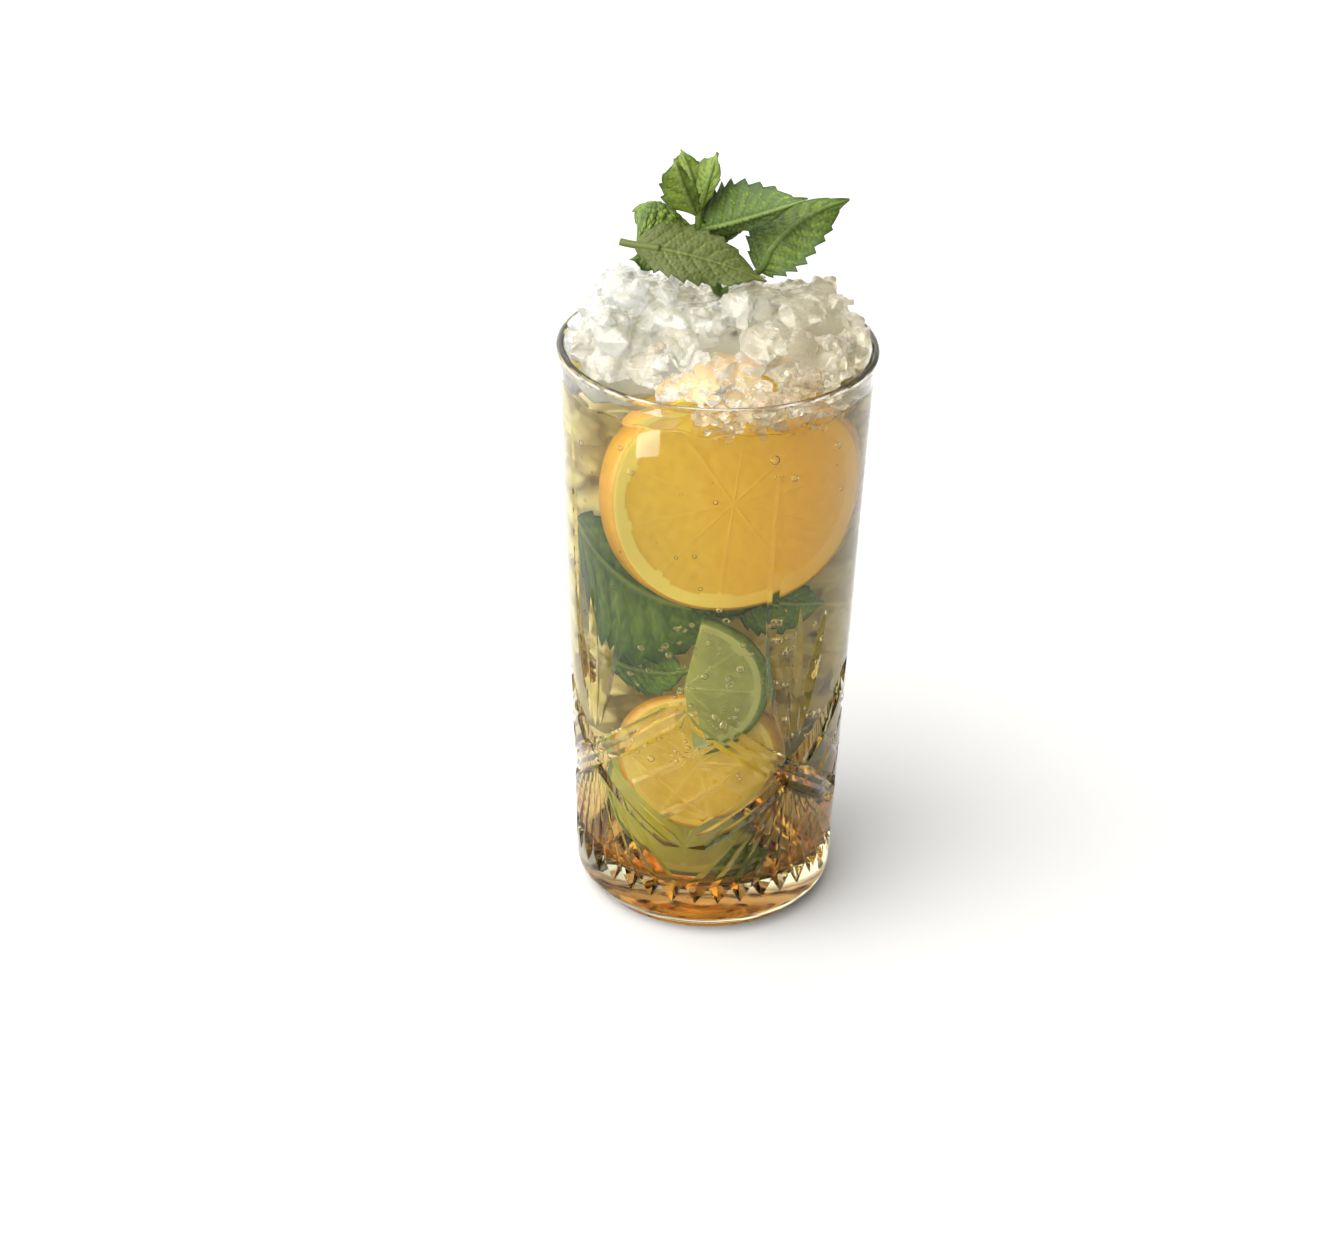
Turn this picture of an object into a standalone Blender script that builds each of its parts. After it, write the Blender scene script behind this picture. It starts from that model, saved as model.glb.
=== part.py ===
"""A mojito in a tall pressed-cut highball glass: the drink with an orange slice standing in
it, a mound of crushed ice, a mint sprig in the ice and one loose mint leaf lying on it.

Metres, +Z up. The origin is the centre of the glass's base, on the surface it stands on,
and the drink is looked at from -Y."""

import math
import random

import bmesh
import bpy
from mathutils import Matrix, Vector, noise

MM = 0.001
GAP = 0.3 * MM  # between two pieces that touch

# The glass
GLASS_HEIGHT = 151 * MM
HEEL_Z = 6 * MM  # the rounded foot ends and the wall begins
HEEL_ROUND = 4.6 * MM
WALL_FOOT_RADIUS = 33.2 * MM
SHOULDER_Z = 139 * MM  # the wall starts to flare to the rim
WALL_SHOULDER_RADIUS = 37.8 * MM
RIM_RADIUS = 39.0 * MM
RIM_THICKNESS = 2.2 * MM
FOOT_RING_RADIUS = 29.2 * MM
BASE_RECESS_RADIUS = 25.5 * MM
BASE_RECESS_DEPTH = 1.0 * MM
INNER_FLOOR_Z = 4.8 * MM  # the middle of the bowl that the floor forms
INNER_CORNER = 6 * MM  # radius of the round where the inner wall meets the bowl
INNER_CORNER_Z = 17 * MM
INNER_FOOT_RADIUS = 30.1 * MM
GLASS_SIDES = 48

# The cut pattern, four times round the wall. Angles are in degrees from -Y towards +X.
QUARTERS = 4
CROSS_ANGLE = 37.0
CROSS_Z = 46 * MM  # where two long arms cross
DIAMOND_LOW_Z = 27 * MM  # the arms meet again below, halfway to the next cross
DIAMOND_HIGH_Z = 68 * MM  # and above
CUT_CLEARANCE = 0.6 * MM  # how far a cutter stands out of the wall
ARM_WIDTH = 5.6 * MM
ARM_DEPTH = 1.4 * MM
HATCH_WIDTH = 2.4 * MM
HATCH_DEPTH = 0.6 * MM
HATCH_LINES = 2  # in each direction inside a diamond
SPIKE_STEP = 10.0  # degrees between the flutes that fan down from a cross
SPIKES_EACH_SIDE = 4
SPIKE_WIDTH = 5.4 * MM
SPIKE_DEPTH = 1.7 * MM
SPIKE_DEEPEST_Z = 14 * MM
SPIKE_TIP_Z = 9.2 * MM
PLUME_STEP = 15.0  # degrees between the flutes that fan up from a cross
PLUMES_EACH_SIDE = 1
PLUME_MIDDLE_Z = 96 * MM
PLUME_DROP = 4.0 * MM  # how much lower the outer flutes end
PLUME_WIDTH = 4.6 * MM
PLUME_DEPTH = 1.1 * MM
MITRE_SIDE = -12.5  # degrees from a cross to the tall upright mitre cut
MITRE_LOW_Z = 66 * MM
MITRE_HIGH_Z = 142 * MM
MITRE_WIDTH = 3.6 * MM
MITRE_DEPTH = 0.55 * MM

# The drink
LIQUID_LEVEL = 143 * MM

# The orange slice, standing in the drink close behind the front wall
SLICE_RADIUS = 29.0 * MM
SLICE_THICKNESS = 7.5 * MM
SLICE_EDGE_ROUND = 1.2 * MM
SLICE_CENTRE = Vector((3.0, -12.0, 118.5)) * MM
SLICE_TURN = 18.0  # degrees about Z, which brings its left edge forward
SLICE_LEAN = 4.0  # degrees, its top leaning back

# The crushed ice, a core with lumps on it
ICE_HEIGHT = 11.5 * MM  # of the core above the rim, behind the mint
ICE_SIDES_UP = 3 * MM  # how much higher it is left and right of the mint
ICE_FRONT = -3 * MM  # where the top starts to fall towards the front
ICE_FALL = 0.62  # how steeply
ICE_BACK = 12 * MM  # and where it starts to fall towards the back
ICE_BACK_FALL = 0.4
ICE_RADIUS = 35.0 * MM
ICE_SHOULDER = 10  # the power that the sides fall with
ICE_SIDES = 36
ICE_LUMPS = 60
LUMP_REACH = 32 * MM  # how far from the axis the outermost are
LUMP_SIZE = (4.5 * MM, 7.8 * MM)  # half the length of the smallest and of the largest
LUMP_RISE = (-0.3, 0.1)  # how far over the core, as a share of its size
LUMP_POINTS = 9
GOLDEN_ANGLE = 137.5
ICE_SEED = 11

# The mint: a leaf's base, the middle of its midrib, its tip and the two ends of its
# widest line, in millimetres, then its teeth on each side
LEAF_THICKNESS = 0.7 * MM
LEAF_WAVE = 0.5 * MM  # how far its edges rise and fall
LEAF_CROWN = 0.8 * MM  # how far each half bulges between the midrib and the edge
TOOTH_STOPS = (0.02, 0.9)  # where in its length each tooth starts and ends
TOOTH_DEPTH = 0.16  # of the leaf's half width
TIP_START = 0.78  # where in its length a leaf draws in to its narrow tip
TIP_LENGTH = 0.17
TIP_DRAW = 0.45
FEW_TEETH = 5  # up to which a leaf is small and has no bulge
STEM_RADIUS = 1.3 * MM
STALK_RADIUS = 0.9 * MM
STEM_PLACES = ((3, 9, 150), (0, 8, 160), (-4.5, 6.5, 170), (-5.3, 6.3, 177), (-5.4, 6.5, 183.5))
LEAVES = {
    "arched": (
        (-5.5, 6, 176.8), (5.3, 0, 182.5), (20.2, -6, 190.4), (2.7, 8, 188.8), (4.7, 2, 178.1), 10,
    ),
    "right": (
        (9.4, 3, 168.3), (17, 5, 179), (30.8, 15, 182.4), (9.9, 13, 179.7), (21.4, 0, 173.7), 9,
    ),
    "left": (
        (-5.4, 6.4, 175.4), (-15.3, 6, 183.5), (-19.7, 3, 174.9), (-19.6, 13, 179.3), (-11.9, 4, 177.2), 6,
    ),
    "top_left": (
        (-5.9, 6.2, 180.4), (-9.2, 1, 190), (-11.2, 0, 196.8), (-14.7, 3, 188.1), (-6.2, 3, 189.1), 5,
    ),
    "top_middle": (
        (-5.3, 6.9, 181.4), (-7.5, 10, 188.6), (-10.3, 14, 194.4), (-11.4, 12, 189.3), (-3.2, 11, 188.8), 4,
    ),
    "top_right": (
        (-5.1, 6.1, 182.2), (-3.4, 5, 189.6), (-1.4, 8, 196.1), (-6.1, 9, 191.5), (-0.8, 4, 191), 4,
    ),
    "small": (
        (-5, 5.8, 178.6), (-0.1, 5, 177.4), (5.1, 4.5, 177.6), (-0.1, 6.5, 178.6), (0, 4.5, 174.8), 3,
    ),
    "low": (
        (-10.3, 6, 171.8), (-16.2, 4, 171.8), (-21.7, 1.5, 170.9), (-15.8, 7, 173.1), (-16.1, 1.5, 167.9), 4,
    ),
}
STALK_STARTS = {"right": (0, 8, 160), "low": (-4.5, 6.5, 170)}  # the other leaves sit on the stem
LOOSE_LEAF = (
    (-20.6, -1, 175.8), (-4.9, -4.5, 174.4), (11.3, -6, 169.4), (-4.4, 0.5, 179.8), (-6.4, -8, 169.3), 9,
)
LOOSE_STALK_END = (-23.8, 0, 176)


def clear_scene():
    for obj in list(bpy.data.objects):
        bpy.data.objects.remove(obj, do_unlink=True)


def material(name, colour, roughness, metallic=0.0):
    made = bpy.data.materials.new(name)
    made.use_nodes = True
    shader = made.node_tree.nodes["Principled BSDF"]
    shader.inputs["Base Color"].default_value = (*colour, 1.0)
    shader.inputs["Roughness"].default_value = roughness
    shader.inputs["Metallic"].default_value = metallic
    return made


def add_object(name, points, faces, finish=None, smooth_below=None):
    """A mesh object in the scene, shaded smooth below the given angle between its faces."""
    mesh = bpy.data.meshes.new(name)
    mesh.from_pydata([tuple(p) for p in points], [], faces)
    if finish:
        mesh.materials.append(finish)
    if smooth_below:
        mesh.shade_smooth()
        mesh.set_sharp_from_angle(angle=math.radians(smooth_below))
    obj = bpy.data.objects.new(name, mesh)
    bpy.context.scene.collection.objects.link(obj)
    return obj


def apply_modifiers(obj):
    """Replaces the object's mesh with what its modifiers make of it, and drops them."""
    bpy.context.view_layer.update()
    graph = bpy.context.evaluated_depsgraph_get()
    made = bpy.data.meshes.new_from_object(obj.evaluated_get(graph))
    obj.modifiers.clear()
    obj.data = made


def combine(obj, operation, others, solver="EXACT"):
    """Joins or cuts the object with a list of others, which are then removed."""
    group = bpy.data.collections.new(obj.name + "_tools")
    bpy.context.scene.collection.children.link(group)
    for other in others:
        bpy.context.scene.collection.objects.unlink(other)
        group.objects.link(other)
    step = obj.modifiers.new(operation.lower(), "BOOLEAN")
    step.operation = operation
    step.operand_type = "COLLECTION"
    step.collection = group
    step.solver = solver
    if solver == "EXACT":
        step.use_self = True
    apply_modifiers(obj)
    for other in others:
        bpy.data.objects.remove(other, do_unlink=True)
    bpy.data.collections.remove(group)


def keep_largest(obj):
    """Drops the loose scraps that a cut leaves."""
    shape = bmesh.new()
    shape.from_mesh(obj.data)
    left = set(shape.verts)
    islands = []
    while left:
        edge = [left.pop()]
        island = set(edge)
        while edge:
            for link in edge.pop().link_edges:
                for vert in link.verts:
                    if vert not in island:
                        island.add(vert)
                        left.discard(vert)
                        edge.append(vert)
        islands.append(island)
    largest = max(islands, key=len)
    scraps = [vert for vert in shape.verts if vert not in largest]
    bmesh.ops.delete(shape, geom=scraps, context="VERTS")
    shape.to_mesh(obj.data)
    shape.free()


def lathe(name, profile, finish, sides=GLASS_SIDES):
    """Turns an outline of (radius, z), which runs down the outer side, about the Z axis."""
    points = []
    rings = []
    for place, (radius, z) in enumerate(profile):
        if place and (radius, z) == profile[0]:
            rings.append(rings[0])
            continue
        if radius < 1e-6:
            rings.append([len(points)] * sides)
            points.append(Vector((0, 0, z)))
            continue
        rings.append(list(range(len(points), len(points) + sides)))
        for side in range(sides):
            turn = math.tau * side / sides
            points.append(Vector((radius * math.sin(turn), -radius * math.cos(turn), z)))
    faces = []
    for upper, lower in zip(rings, rings[1:]):
        for side in range(sides):
            after = (side + 1) % sides
            corners = dict.fromkeys((upper[side], lower[side], lower[after], upper[after]))
            if len(corners) > 2:
                faces.append(list(corners))
    return add_object(name, points, faces, finish, smooth_below=30)


def arc(centre, radius, start, end, steps):
    """Points of (radius, z) on a circle, from one angle to another in degrees."""
    made = []
    for step in range(steps + 1):
        turn = math.radians(start + (end - start) * step / steps)
        made.append((centre[0] + radius * math.cos(turn), centre[1] + radius * math.sin(turn)))
    return made


def wall_radius(z):
    """The outer radius of the wall above the rounded foot."""
    share = (z - HEEL_Z) / (SHOULDER_Z - HEEL_Z)
    radius = WALL_FOOT_RADIUS + (WALL_SHOULDER_RADIUS - WALL_FOOT_RADIUS) * share
    if z > SHOULDER_Z:
        flare = (z - SHOULDER_Z) / (GLASS_HEIGHT - SHOULDER_Z)
        radius = WALL_SHOULDER_RADIUS + (RIM_RADIUS - WALL_SHOULDER_RADIUS) * flare**1.3
    return radius


def inner_radius(z):
    """The inner radius of the wall above the round at its foot."""
    share = (z - INNER_CORNER_Z) / (GLASS_HEIGHT - INNER_CORNER_Z)
    return INNER_FOOT_RADIUS + (RIM_RADIUS - RIM_THICKNESS - INNER_FOOT_RADIUS) * share**0.85


def inner_outline(top_z, inset=0.0):
    """The inside of the glass as (radius, z): a shallow bowl that runs into a round, and the wall."""
    corner = (INNER_FOOT_RADIUS - INNER_CORNER, INNER_CORNER_Z)
    rise = INNER_CORNER_Z - INNER_FLOOR_Z
    bowl = (corner[0] ** 2 + rise**2 - INNER_CORNER**2) / (2 * (rise - INNER_CORNER))
    centre = (0.0, INNER_FLOOR_Z + bowl)
    tilt = math.degrees(math.atan2(corner[0], centre[1] - corner[1]))
    outline = arc(centre, bowl - inset, -90, tilt - 90, 2)[:-1]
    outline += arc(corner, INNER_CORNER - inset, tilt - 90, -8, 3)
    outline += [(inner_radius(z) - inset, z) for z in (55 * MM, 100 * MM)]
    outline.append((inner_radius(top_z) - inset, top_z))
    return outline


def on_wall(angle, z, out=0.0):
    """A point on the outer wall, moved out along the wall's radius."""
    turn = math.radians(angle)
    radius = wall_radius(z) + out
    return Vector((radius * math.sin(turn), -radius * math.cos(turn), z))


def groove(stations, deepest, widest):
    """A V-shaped cutter along stations of (angle, z, depth) on the wall."""
    points = []
    for index, (angle, z, depth) in enumerate(stations):
        before = stations[max(index - 1, 0)]
        after = stations[min(index + 1, len(stations) - 1)]
        along = (on_wall(after[0], after[1]) - on_wall(before[0], before[1])).normalized()
        out = (on_wall(angle, z, 1.0) - on_wall(angle, z)).normalized()
        side = along.cross(out).normalized()
        place = on_wall(angle, z)
        half = widest / 2 * (depth + CUT_CLEARANCE) / deepest
        points.append(place - out * depth)
        points.append(place + out * CUT_CLEARANCE + side * half)
        points.append(place + out * CUT_CLEARANCE - side * half)
    last = len(points) - 3
    faces = [[0, 1, 2], [last, last + 2, last + 1]]
    for start in range(0, last, 3):
        for low, high in ((0, 1), (1, 2), (2, 0)):
            faces.append([start + low, start + 3 + low, start + 3 + high, start + high])
    return add_object("cutter", points, faces)


def straight_groove(start, end, deepest, widest, steps, shape):
    """A groove between two places of (angle, z); shape(t) is its share of the depth."""
    stations = []
    for step in range(steps + 1):
        t = step / steps
        angle = start[0] + (end[0] - start[0]) * t
        z = start[1] + (end[1] - start[1]) * t
        stations.append((angle, z, deepest * shape(t)))
    return groove(stations, deepest, widest)


def level(t):
    return 1.0


def pointed(t):
    """Deepest in the middle and running out at both ends."""
    return 1.15 * math.sin(math.pi * t) ** 0.7 - 0.15


def between(start, end, share):
    return start[0] + (end[0] - start[0]) * share, start[1] + (end[1] - start[1]) * share


def arm_cutters(cross):
    """The two long arms through a cross, from a diamond's low corner to a high one."""
    made = []
    steps = 6
    for side in (1, -1):
        low = (cross - side * 45, DIAMOND_LOW_Z)
        high = (cross + side * 45, DIAMOND_HIGH_Z)
        stations = []
        for step in range(steps + 1):
            t = 2 * step / steps
            middle = (cross, CROSS_Z)
            angle, z = between(low, middle, t) if t < 1 else between(middle, high, t - 1)
            stations.append((angle, z, ARM_DEPTH if 0 < step < steps else -ARM_DEPTH / 4))
        made.append(groove(stations, ARM_DEPTH, ARM_WIDTH))
    return made


def hatch_cutters(cross):
    """The lattice inside the diamond that lies to the right of a cross."""
    left, right = (cross, CROSS_Z), (cross + 90, CROSS_Z)
    low, high = (cross + 45, DIAMOND_LOW_Z), (cross + 45, DIAMOND_HIGH_Z)
    made = []
    for line in range(1, HATCH_LINES + 1):
        share = line / (HATCH_LINES + 1)
        rising = (between(left, low, share), between(high, right, share), 0.10, HATCH_DEPTH)
        falling = (between(left, high, share), between(low, right, share), 0.14, HATCH_DEPTH * 0.9)
        for a, b, margin, depth in (rising, falling):
            start, end = between(a, b, margin), between(a, b, 1 - margin)
            made.append(straight_groove(start, end, depth, HATCH_WIDTH, 2, level))
    return made


def spike_cutters(cross):
    """The flutes that fan down from a cross and end in points round the foot."""
    made = []
    for number in range(-SPIKES_EACH_SIDE, SPIKES_EACH_SIDE + 1):
        top_z = CROSS_Z - 4 * MM - abs(number) * 1.6 * MM
        steps = 2 + abs(number) // 2
        stations = []
        for step in range(steps + 1):
            t = step / steps
            z = top_z + (SPIKE_DEEPEST_Z - top_z) * t
            reach = (CROSS_Z - z) / (CROSS_Z - SPIKE_DEEPEST_Z)
            angle = cross + number * SPIKE_STEP * reach
            stations.append((angle, z, SPIKE_DEPTH * (0.15 + 0.85 * t)))
        stations.append((cross + number * SPIKE_STEP, SPIKE_TIP_Z, -SPIKE_DEPTH / 8))
        made.append(groove(stations, SPIKE_DEPTH, SPIKE_WIDTH))
    return made


def plume_cutters(cross):
    """The flutes that fan up from a cross, the middle one tallest."""
    made = []
    for number in range(-PLUMES_EACH_SIDE, PLUMES_EACH_SIDE + 1):
        start = (cross + number * 2.5, CROSS_Z + 6 * MM + abs(number) * 2 * MM)
        end = (cross + number * PLUME_STEP, PLUME_MIDDLE_Z - PLUME_DROP * abs(number))
        made.append(straight_groove(start, end, PLUME_DEPTH, PLUME_WIDTH, 4, pointed))
    return made


def mitre_cutter(cross):
    start = (cross + MITRE_SIDE, MITRE_LOW_Z)
    end = (cross + MITRE_SIDE, MITRE_HIGH_Z)
    return straight_groove(start, end, MITRE_DEPTH, MITRE_WIDTH, 4, pointed)


def make_glass():
    outline = [(RIM_RADIUS - RIM_THICKNESS, GLASS_HEIGHT - RIM_THICKNESS / 2)]
    rim = (RIM_RADIUS - RIM_THICKNESS / 2, GLASS_HEIGHT - RIM_THICKNESS / 2)
    outline += arc(rim, RIM_THICKNESS / 2, 150, 0, 5)
    outline += [(wall_radius(z), z) for z in (146 * MM, SHOULDER_Z, HEEL_Z)]
    outline += arc((WALL_FOOT_RADIUS - HEEL_ROUND, HEEL_Z), HEEL_ROUND, -22, -72, 3)
    outline += [(FOOT_RING_RADIUS, 0.0), (BASE_RECESS_RADIUS, 0.0)]
    outline += [(BASE_RECESS_RADIUS - 2 * MM, BASE_RECESS_DEPTH), (0.0, BASE_RECESS_DEPTH)]
    inside = inner_outline(GLASS_HEIGHT - RIM_THICKNESS / 2)
    finish = material("clear glass", (0.92, 0.94, 0.92), 0.02)
    glass = lathe("glass", outline + inside[:-1] + outline[:1], finish)
    cutters = []
    for quarter in range(QUARTERS):
        cross = CROSS_ANGLE + 360 / QUARTERS * quarter
        cutters += arm_cutters(cross)
        cutters += hatch_cutters(cross)
        cutters += spike_cutters(cross)
        cutters += plume_cutters(cross)
        cutters.append(mitre_cutter(cross))
    combine(glass, "DIFFERENCE", cutters)
    keep_largest(glass)
    glass.data.shade_smooth()
    glass.data.set_sharp_from_angle(angle=math.radians(14))
    return glass


def lathe_solid(name, outline, finish):
    """A turned solid from an outline of (radius, z) that runs up its side from the bottom."""
    top = outline[-1][1]
    return lathe(name, [(0.0, top)] + outline[::-1], finish)


def place_slice(obj):
    turn = Matrix.Rotation(math.radians(SLICE_TURN), 4, "Z")
    lean = Matrix.Rotation(math.radians(90 - SLICE_LEAN), 4, "X")
    obj.data.transform(Matrix.Translation(SLICE_CENTRE) @ turn @ lean)


def slice_solid(name, finish, grow=0.0):
    """The round slice, a disc with rounded edges, larger all over by grow."""
    half = SLICE_THICKNESS / 2 + grow
    radius = SLICE_RADIUS + grow
    rim = (radius - SLICE_EDGE_ROUND, half - SLICE_EDGE_ROUND)
    outline = [(0.0, -half)]
    outline += [(x, -z) for x, z in arc(rim, SLICE_EDGE_ROUND, 90, 0, 1)]
    outline += arc(rim, SLICE_EDGE_ROUND, 0, 90, 1)
    made = lathe_solid(name, outline, finish)
    place_slice(made)
    return made


def tube(places, radius, sides=6):
    """A rod with flat ends through places."""
    points = []
    for index, place in enumerate(places):
        along = (places[min(index + 1, len(places) - 1)] - places[max(index - 1, 0)]).normalized()
        across = along.cross(Vector((0, 1, 0))).normalized()
        up = across.cross(along)
        for side in range(sides):
            turn = math.tau * side / sides
            points.append(place + (across * math.cos(turn) + up * math.sin(turn)) * radius)
    faces = [list(range(sides)), list(range(len(points) - 1, len(points) - sides - 1, -1))]
    for start in range(0, len(points) - sides, sides):
        for side in range(sides):
            after = (side + 1) % sides
            faces.append([start + after, start + side, start + side + sides, start + after + sides])
    return add_object("rod", points, faces)


def in_mm(place):
    return Vector(place) * MM


def midrib(base, middle, tip, t):
    """A point of the curve that runs from base to tip through middle."""
    bend = middle * 2 - (base + tip) / 2
    return base * (1 - t) ** 2 + bend * 2 * t * (1 - t) + tip * t**2


def leaf_breadth(t, teeth):
    """The leaf's half width along its midrib, 1 at its widest, with teeth that point to the tip."""
    tooth = t * teeth % 1.0
    drawn = min(max((t - TIP_START) / TIP_LENGTH, 0.0), 1.0)
    outline = math.sin(math.pi * t**0.8) ** 0.85 * (1 - TIP_DRAW * drawn * drawn * (3 - 2 * drawn))
    return max(outline * (1 + TOOTH_DEPTH * (tooth - 0.45)), 0.07)


def leaf_solid(form, grow=0.0):
    """A thin wavy leaf with a toothed edge."""
    base, middle, tip, one_edge, other_edge = (in_mm(place) for place in form[:5])
    teeth = form[5]
    spans = (one_edge - middle, other_edge - middle)
    shares = (-1.0, -0.5, 0.0, 0.5, 1.0) if teeth > FEW_TEETH else (-1.0, 0.0, 1.0)
    stops = [(tooth + stop) / teeth for tooth in range(teeth) for stop in TOOTH_STOPS]
    rows = []
    for t in stops:
        row = []
        for share in shares:
            span = spans[0] if share < 0 else spans[1]
            reach = abs(share) * (leaf_breadth(t, teeth) + grow / span.length)
            row.append(midrib(base, middle, tip, t) + span * reach)
        rows.append(row)
    width = len(shares)
    half = LEAF_THICKNESS / 2 + grow
    upper = []
    lower = []
    for index, row in enumerate(rows):
        ahead = rows[min(index + 1, len(rows) - 1)]
        behind = rows[max(index - 1, 0)]
        t = index / (len(rows) - 1)
        for column, point in enumerate(row):
            along = ahead[column] - behind[column]
            across = row[min(column + 1, width - 1)] - row[max(column - 1, 0)]
            out = along.cross(across).normalized()
            wave = LEAF_WAVE * math.sin(4.2 * math.pi * t + column) * abs(shares[column])
            crown = LEAF_CROWN * (1 - abs(2 * abs(shares[column]) - 1)) * math.sin(math.pi * t)
            centre = point + out * (wave + crown)
            upper.append(centre + out * half)
            lower.append(centre - out * half)
    count = len(upper)
    faces = []
    for index in range(len(rows) - 1):
        for column in range(width - 1):
            a = index * width + column
            b, c, d = a + 1, a + width + 1, a + width
            faces += [[a, d, b], [b, d, c]]
            faces += [[a + count, b + count, d + count], [b + count, c + count, d + count]]
    rim = [index * width for index in range(len(rows))]
    rim += [count - width + column for column in range(1, width)]
    rim += [index * width + width - 1 for index in range(len(rows) - 2, -1, -1)]
    rim += [column for column in range(width - 2, 0, -1)]
    for a, b in zip(rim, rim[1:] + rim[:1]):
        faces.append([a, a + count, b + count, b])
    return add_object("leaf", upper + lower, faces)


def sprig_solids(grow=0.0):
    """The stem, and each leaf with the stalk that carries it."""
    stem = [in_mm(place) for place in STEM_PLACES]
    made = [tube(stem, STEM_RADIUS + grow)]
    for name, form in LEAVES.items():
        made.append(leaf_solid(form, grow))
        if name in STALK_STARTS:
            base, middle, tip = (in_mm(place) for place in form[:3])
            places = [in_mm(STALK_STARTS[name]), base, midrib(base, middle, tip, 0.2)]
            made.append(tube(places, STALK_RADIUS + grow))
    return made


def loose_solids(grow=0.0):
    base, middle, tip = (in_mm(place) for place in LOOSE_LEAF[:3])
    stalk = tube([in_mm(LOOSE_STALK_END), base, midrib(base, middle, tip, 0.2)], STALK_RADIUS + grow)
    return [leaf_solid(LOOSE_LEAF, grow), stalk]


def fuse(name, solids, finish):
    first = solids[0]
    combine(first, "UNION", solids[1:], "MANIFOLD")
    keep_largest(first)
    first.name = name
    first.data.materials.clear()
    first.data.materials.append(finish)
    return first


def mound_top(x, y):
    """How high the core of the ice stands: a flat top that falls to the front, back and sides."""
    side = min(math.hypot(x, y) / ICE_RADIUS, 1.0) ** ICE_SHOULDER
    height = ICE_HEIGHT - ICE_FALL * max(ICE_FRONT - y, 0.0) - ICE_BACK_FALL * max(y - ICE_BACK, 0.0)
    height += ICE_SIDES_UP * min(max(abs(x) / (12 * MM) - 0.8, 0.0), 1.0)
    uneven = 1.2 * MM * noise.noise(Vector((x, y, 0)) / (11 * MM))
    return GLASS_HEIGHT + (height + uneven) * (1 - side) - 3 * MM * side


def ice_core():
    bottom = LIQUID_LEVEL + GAP
    points = [Vector((0, 0, bottom))]
    reach = inner_radius(bottom) - GAP
    shares = (1.0, 0.93, 0.84, 0.7, 0.5, 0.25)
    turns = [math.tau * side / ICE_SIDES for side in range(ICE_SIDES)]
    points += [Vector((reach * math.sin(turn), -reach * math.cos(turn), bottom)) for turn in turns]
    for share in shares:
        for turn in turns:
            x, y = reach * share * math.sin(turn), -reach * share * math.cos(turn)
            points.append(Vector((x, y, max(mound_top(x, y), bottom + 3 * MM))))
    points.append(Vector((0, 0, mound_top(0, 0))))
    faces = []
    for side in range(ICE_SIDES):
        after = (side + 1) % ICE_SIDES
        faces.append([0, 1 + after, 1 + side])
        for ring in range(len(shares)):
            low = 1 + ring * ICE_SIDES
            high = low + ICE_SIDES
            faces.append([low + side, low + after, high + after, high + side])
        top = 1 + len(shares) * ICE_SIDES
        faces.append([top + side, top + after, len(points) - 1])
    return add_object("core", points, faces)


def ice_lump(centre, size, draw):
    """One lump of crushed ice, the hull of a few points round its centre, inside the glass."""
    hull = bpy.data.meshes.new("lump")
    shape = bmesh.new()
    stretch = Vector((draw.uniform(0.75, 1.0), draw.uniform(0.65, 1.0), draw.uniform(0.55, 0.9)))
    for number in range(LUMP_POINTS):
        high = 1 - 2 * (number + 0.5) / LUMP_POINTS
        turn = number * math.radians(GOLDEN_ANGLE) + draw.uniform(-0.5, 0.5)
        flat = math.sqrt(1 - high * high)
        point = Vector((flat * math.cos(turn), flat * math.sin(turn), high)) * draw.uniform(0.8, 1.05)
        point = Vector((point.x * stretch.x, point.y * stretch.y, point.z * stretch.z)) * size
        point = centre + point
        limit = inner_radius(min(point.z, 149 * MM)) - GAP
        reach = math.hypot(point.x, point.y)
        if reach > limit:
            point.x *= limit / reach
            point.y *= limit / reach
        point.z = max(point.z, LIQUID_LEVEL + GAP)
        shape.verts.new(point)
    bmesh.ops.convex_hull(shape, input=shape.verts, use_existing_faces=False)
    loose = [vert for vert in shape.verts if not vert.link_faces]
    bmesh.ops.delete(shape, geom=loose, context="VERTS")
    bmesh.ops.recalc_face_normals(shape, faces=shape.faces)
    shape.to_mesh(hull)
    shape.free()
    made = bpy.data.objects.new("lump", hull)
    bpy.context.scene.collection.objects.link(made)
    return made


def ice_lumps():
    """Lumps spread evenly over the mound."""
    draw = random.Random(ICE_SEED)
    made = []
    for number in range(ICE_LUMPS):
        share = (number + 0.5) / ICE_LUMPS
        radius = LUMP_REACH * math.sqrt(share)
        turn = number * math.radians(GOLDEN_ANGLE) + draw.uniform(-0.2, 0.2)
        x, y = radius * math.sin(turn), -radius * math.cos(turn)
        size = LUMP_SIZE[0] + (LUMP_SIZE[1] - LUMP_SIZE[0]) * draw.random()
        z = mound_top(x, y) + size * draw.uniform(*LUMP_RISE)
        made.append(ice_lump(Vector((x, y, z)), size, draw))
    return made


def make_ice():
    finish = material("crushed ice", (0.86, 0.86, 0.80), 0.25)
    ice = fuse("crushed_ice", [ice_core()] + ice_lumps(), finish)
    cutters = [slice_solid("cutter", None, GAP)] + sprig_solids(GAP) + loose_solids(GAP)
    combine(ice, "DIFFERENCE", cutters, "MANIFOLD")
    keep_largest(ice)
    ice.data.shade_flat()
    return ice


def make_drink():
    finish = material("mojito", (0.55, 0.50, 0.25), 0.05)
    drink = lathe_solid("drink", inner_outline(LIQUID_LEVEL, GAP), finish)
    combine(drink, "DIFFERENCE", [slice_solid("cutter", None, GAP)])
    drink.data.set_sharp_from_angle(angle=math.radians(30))
    return drink


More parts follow.
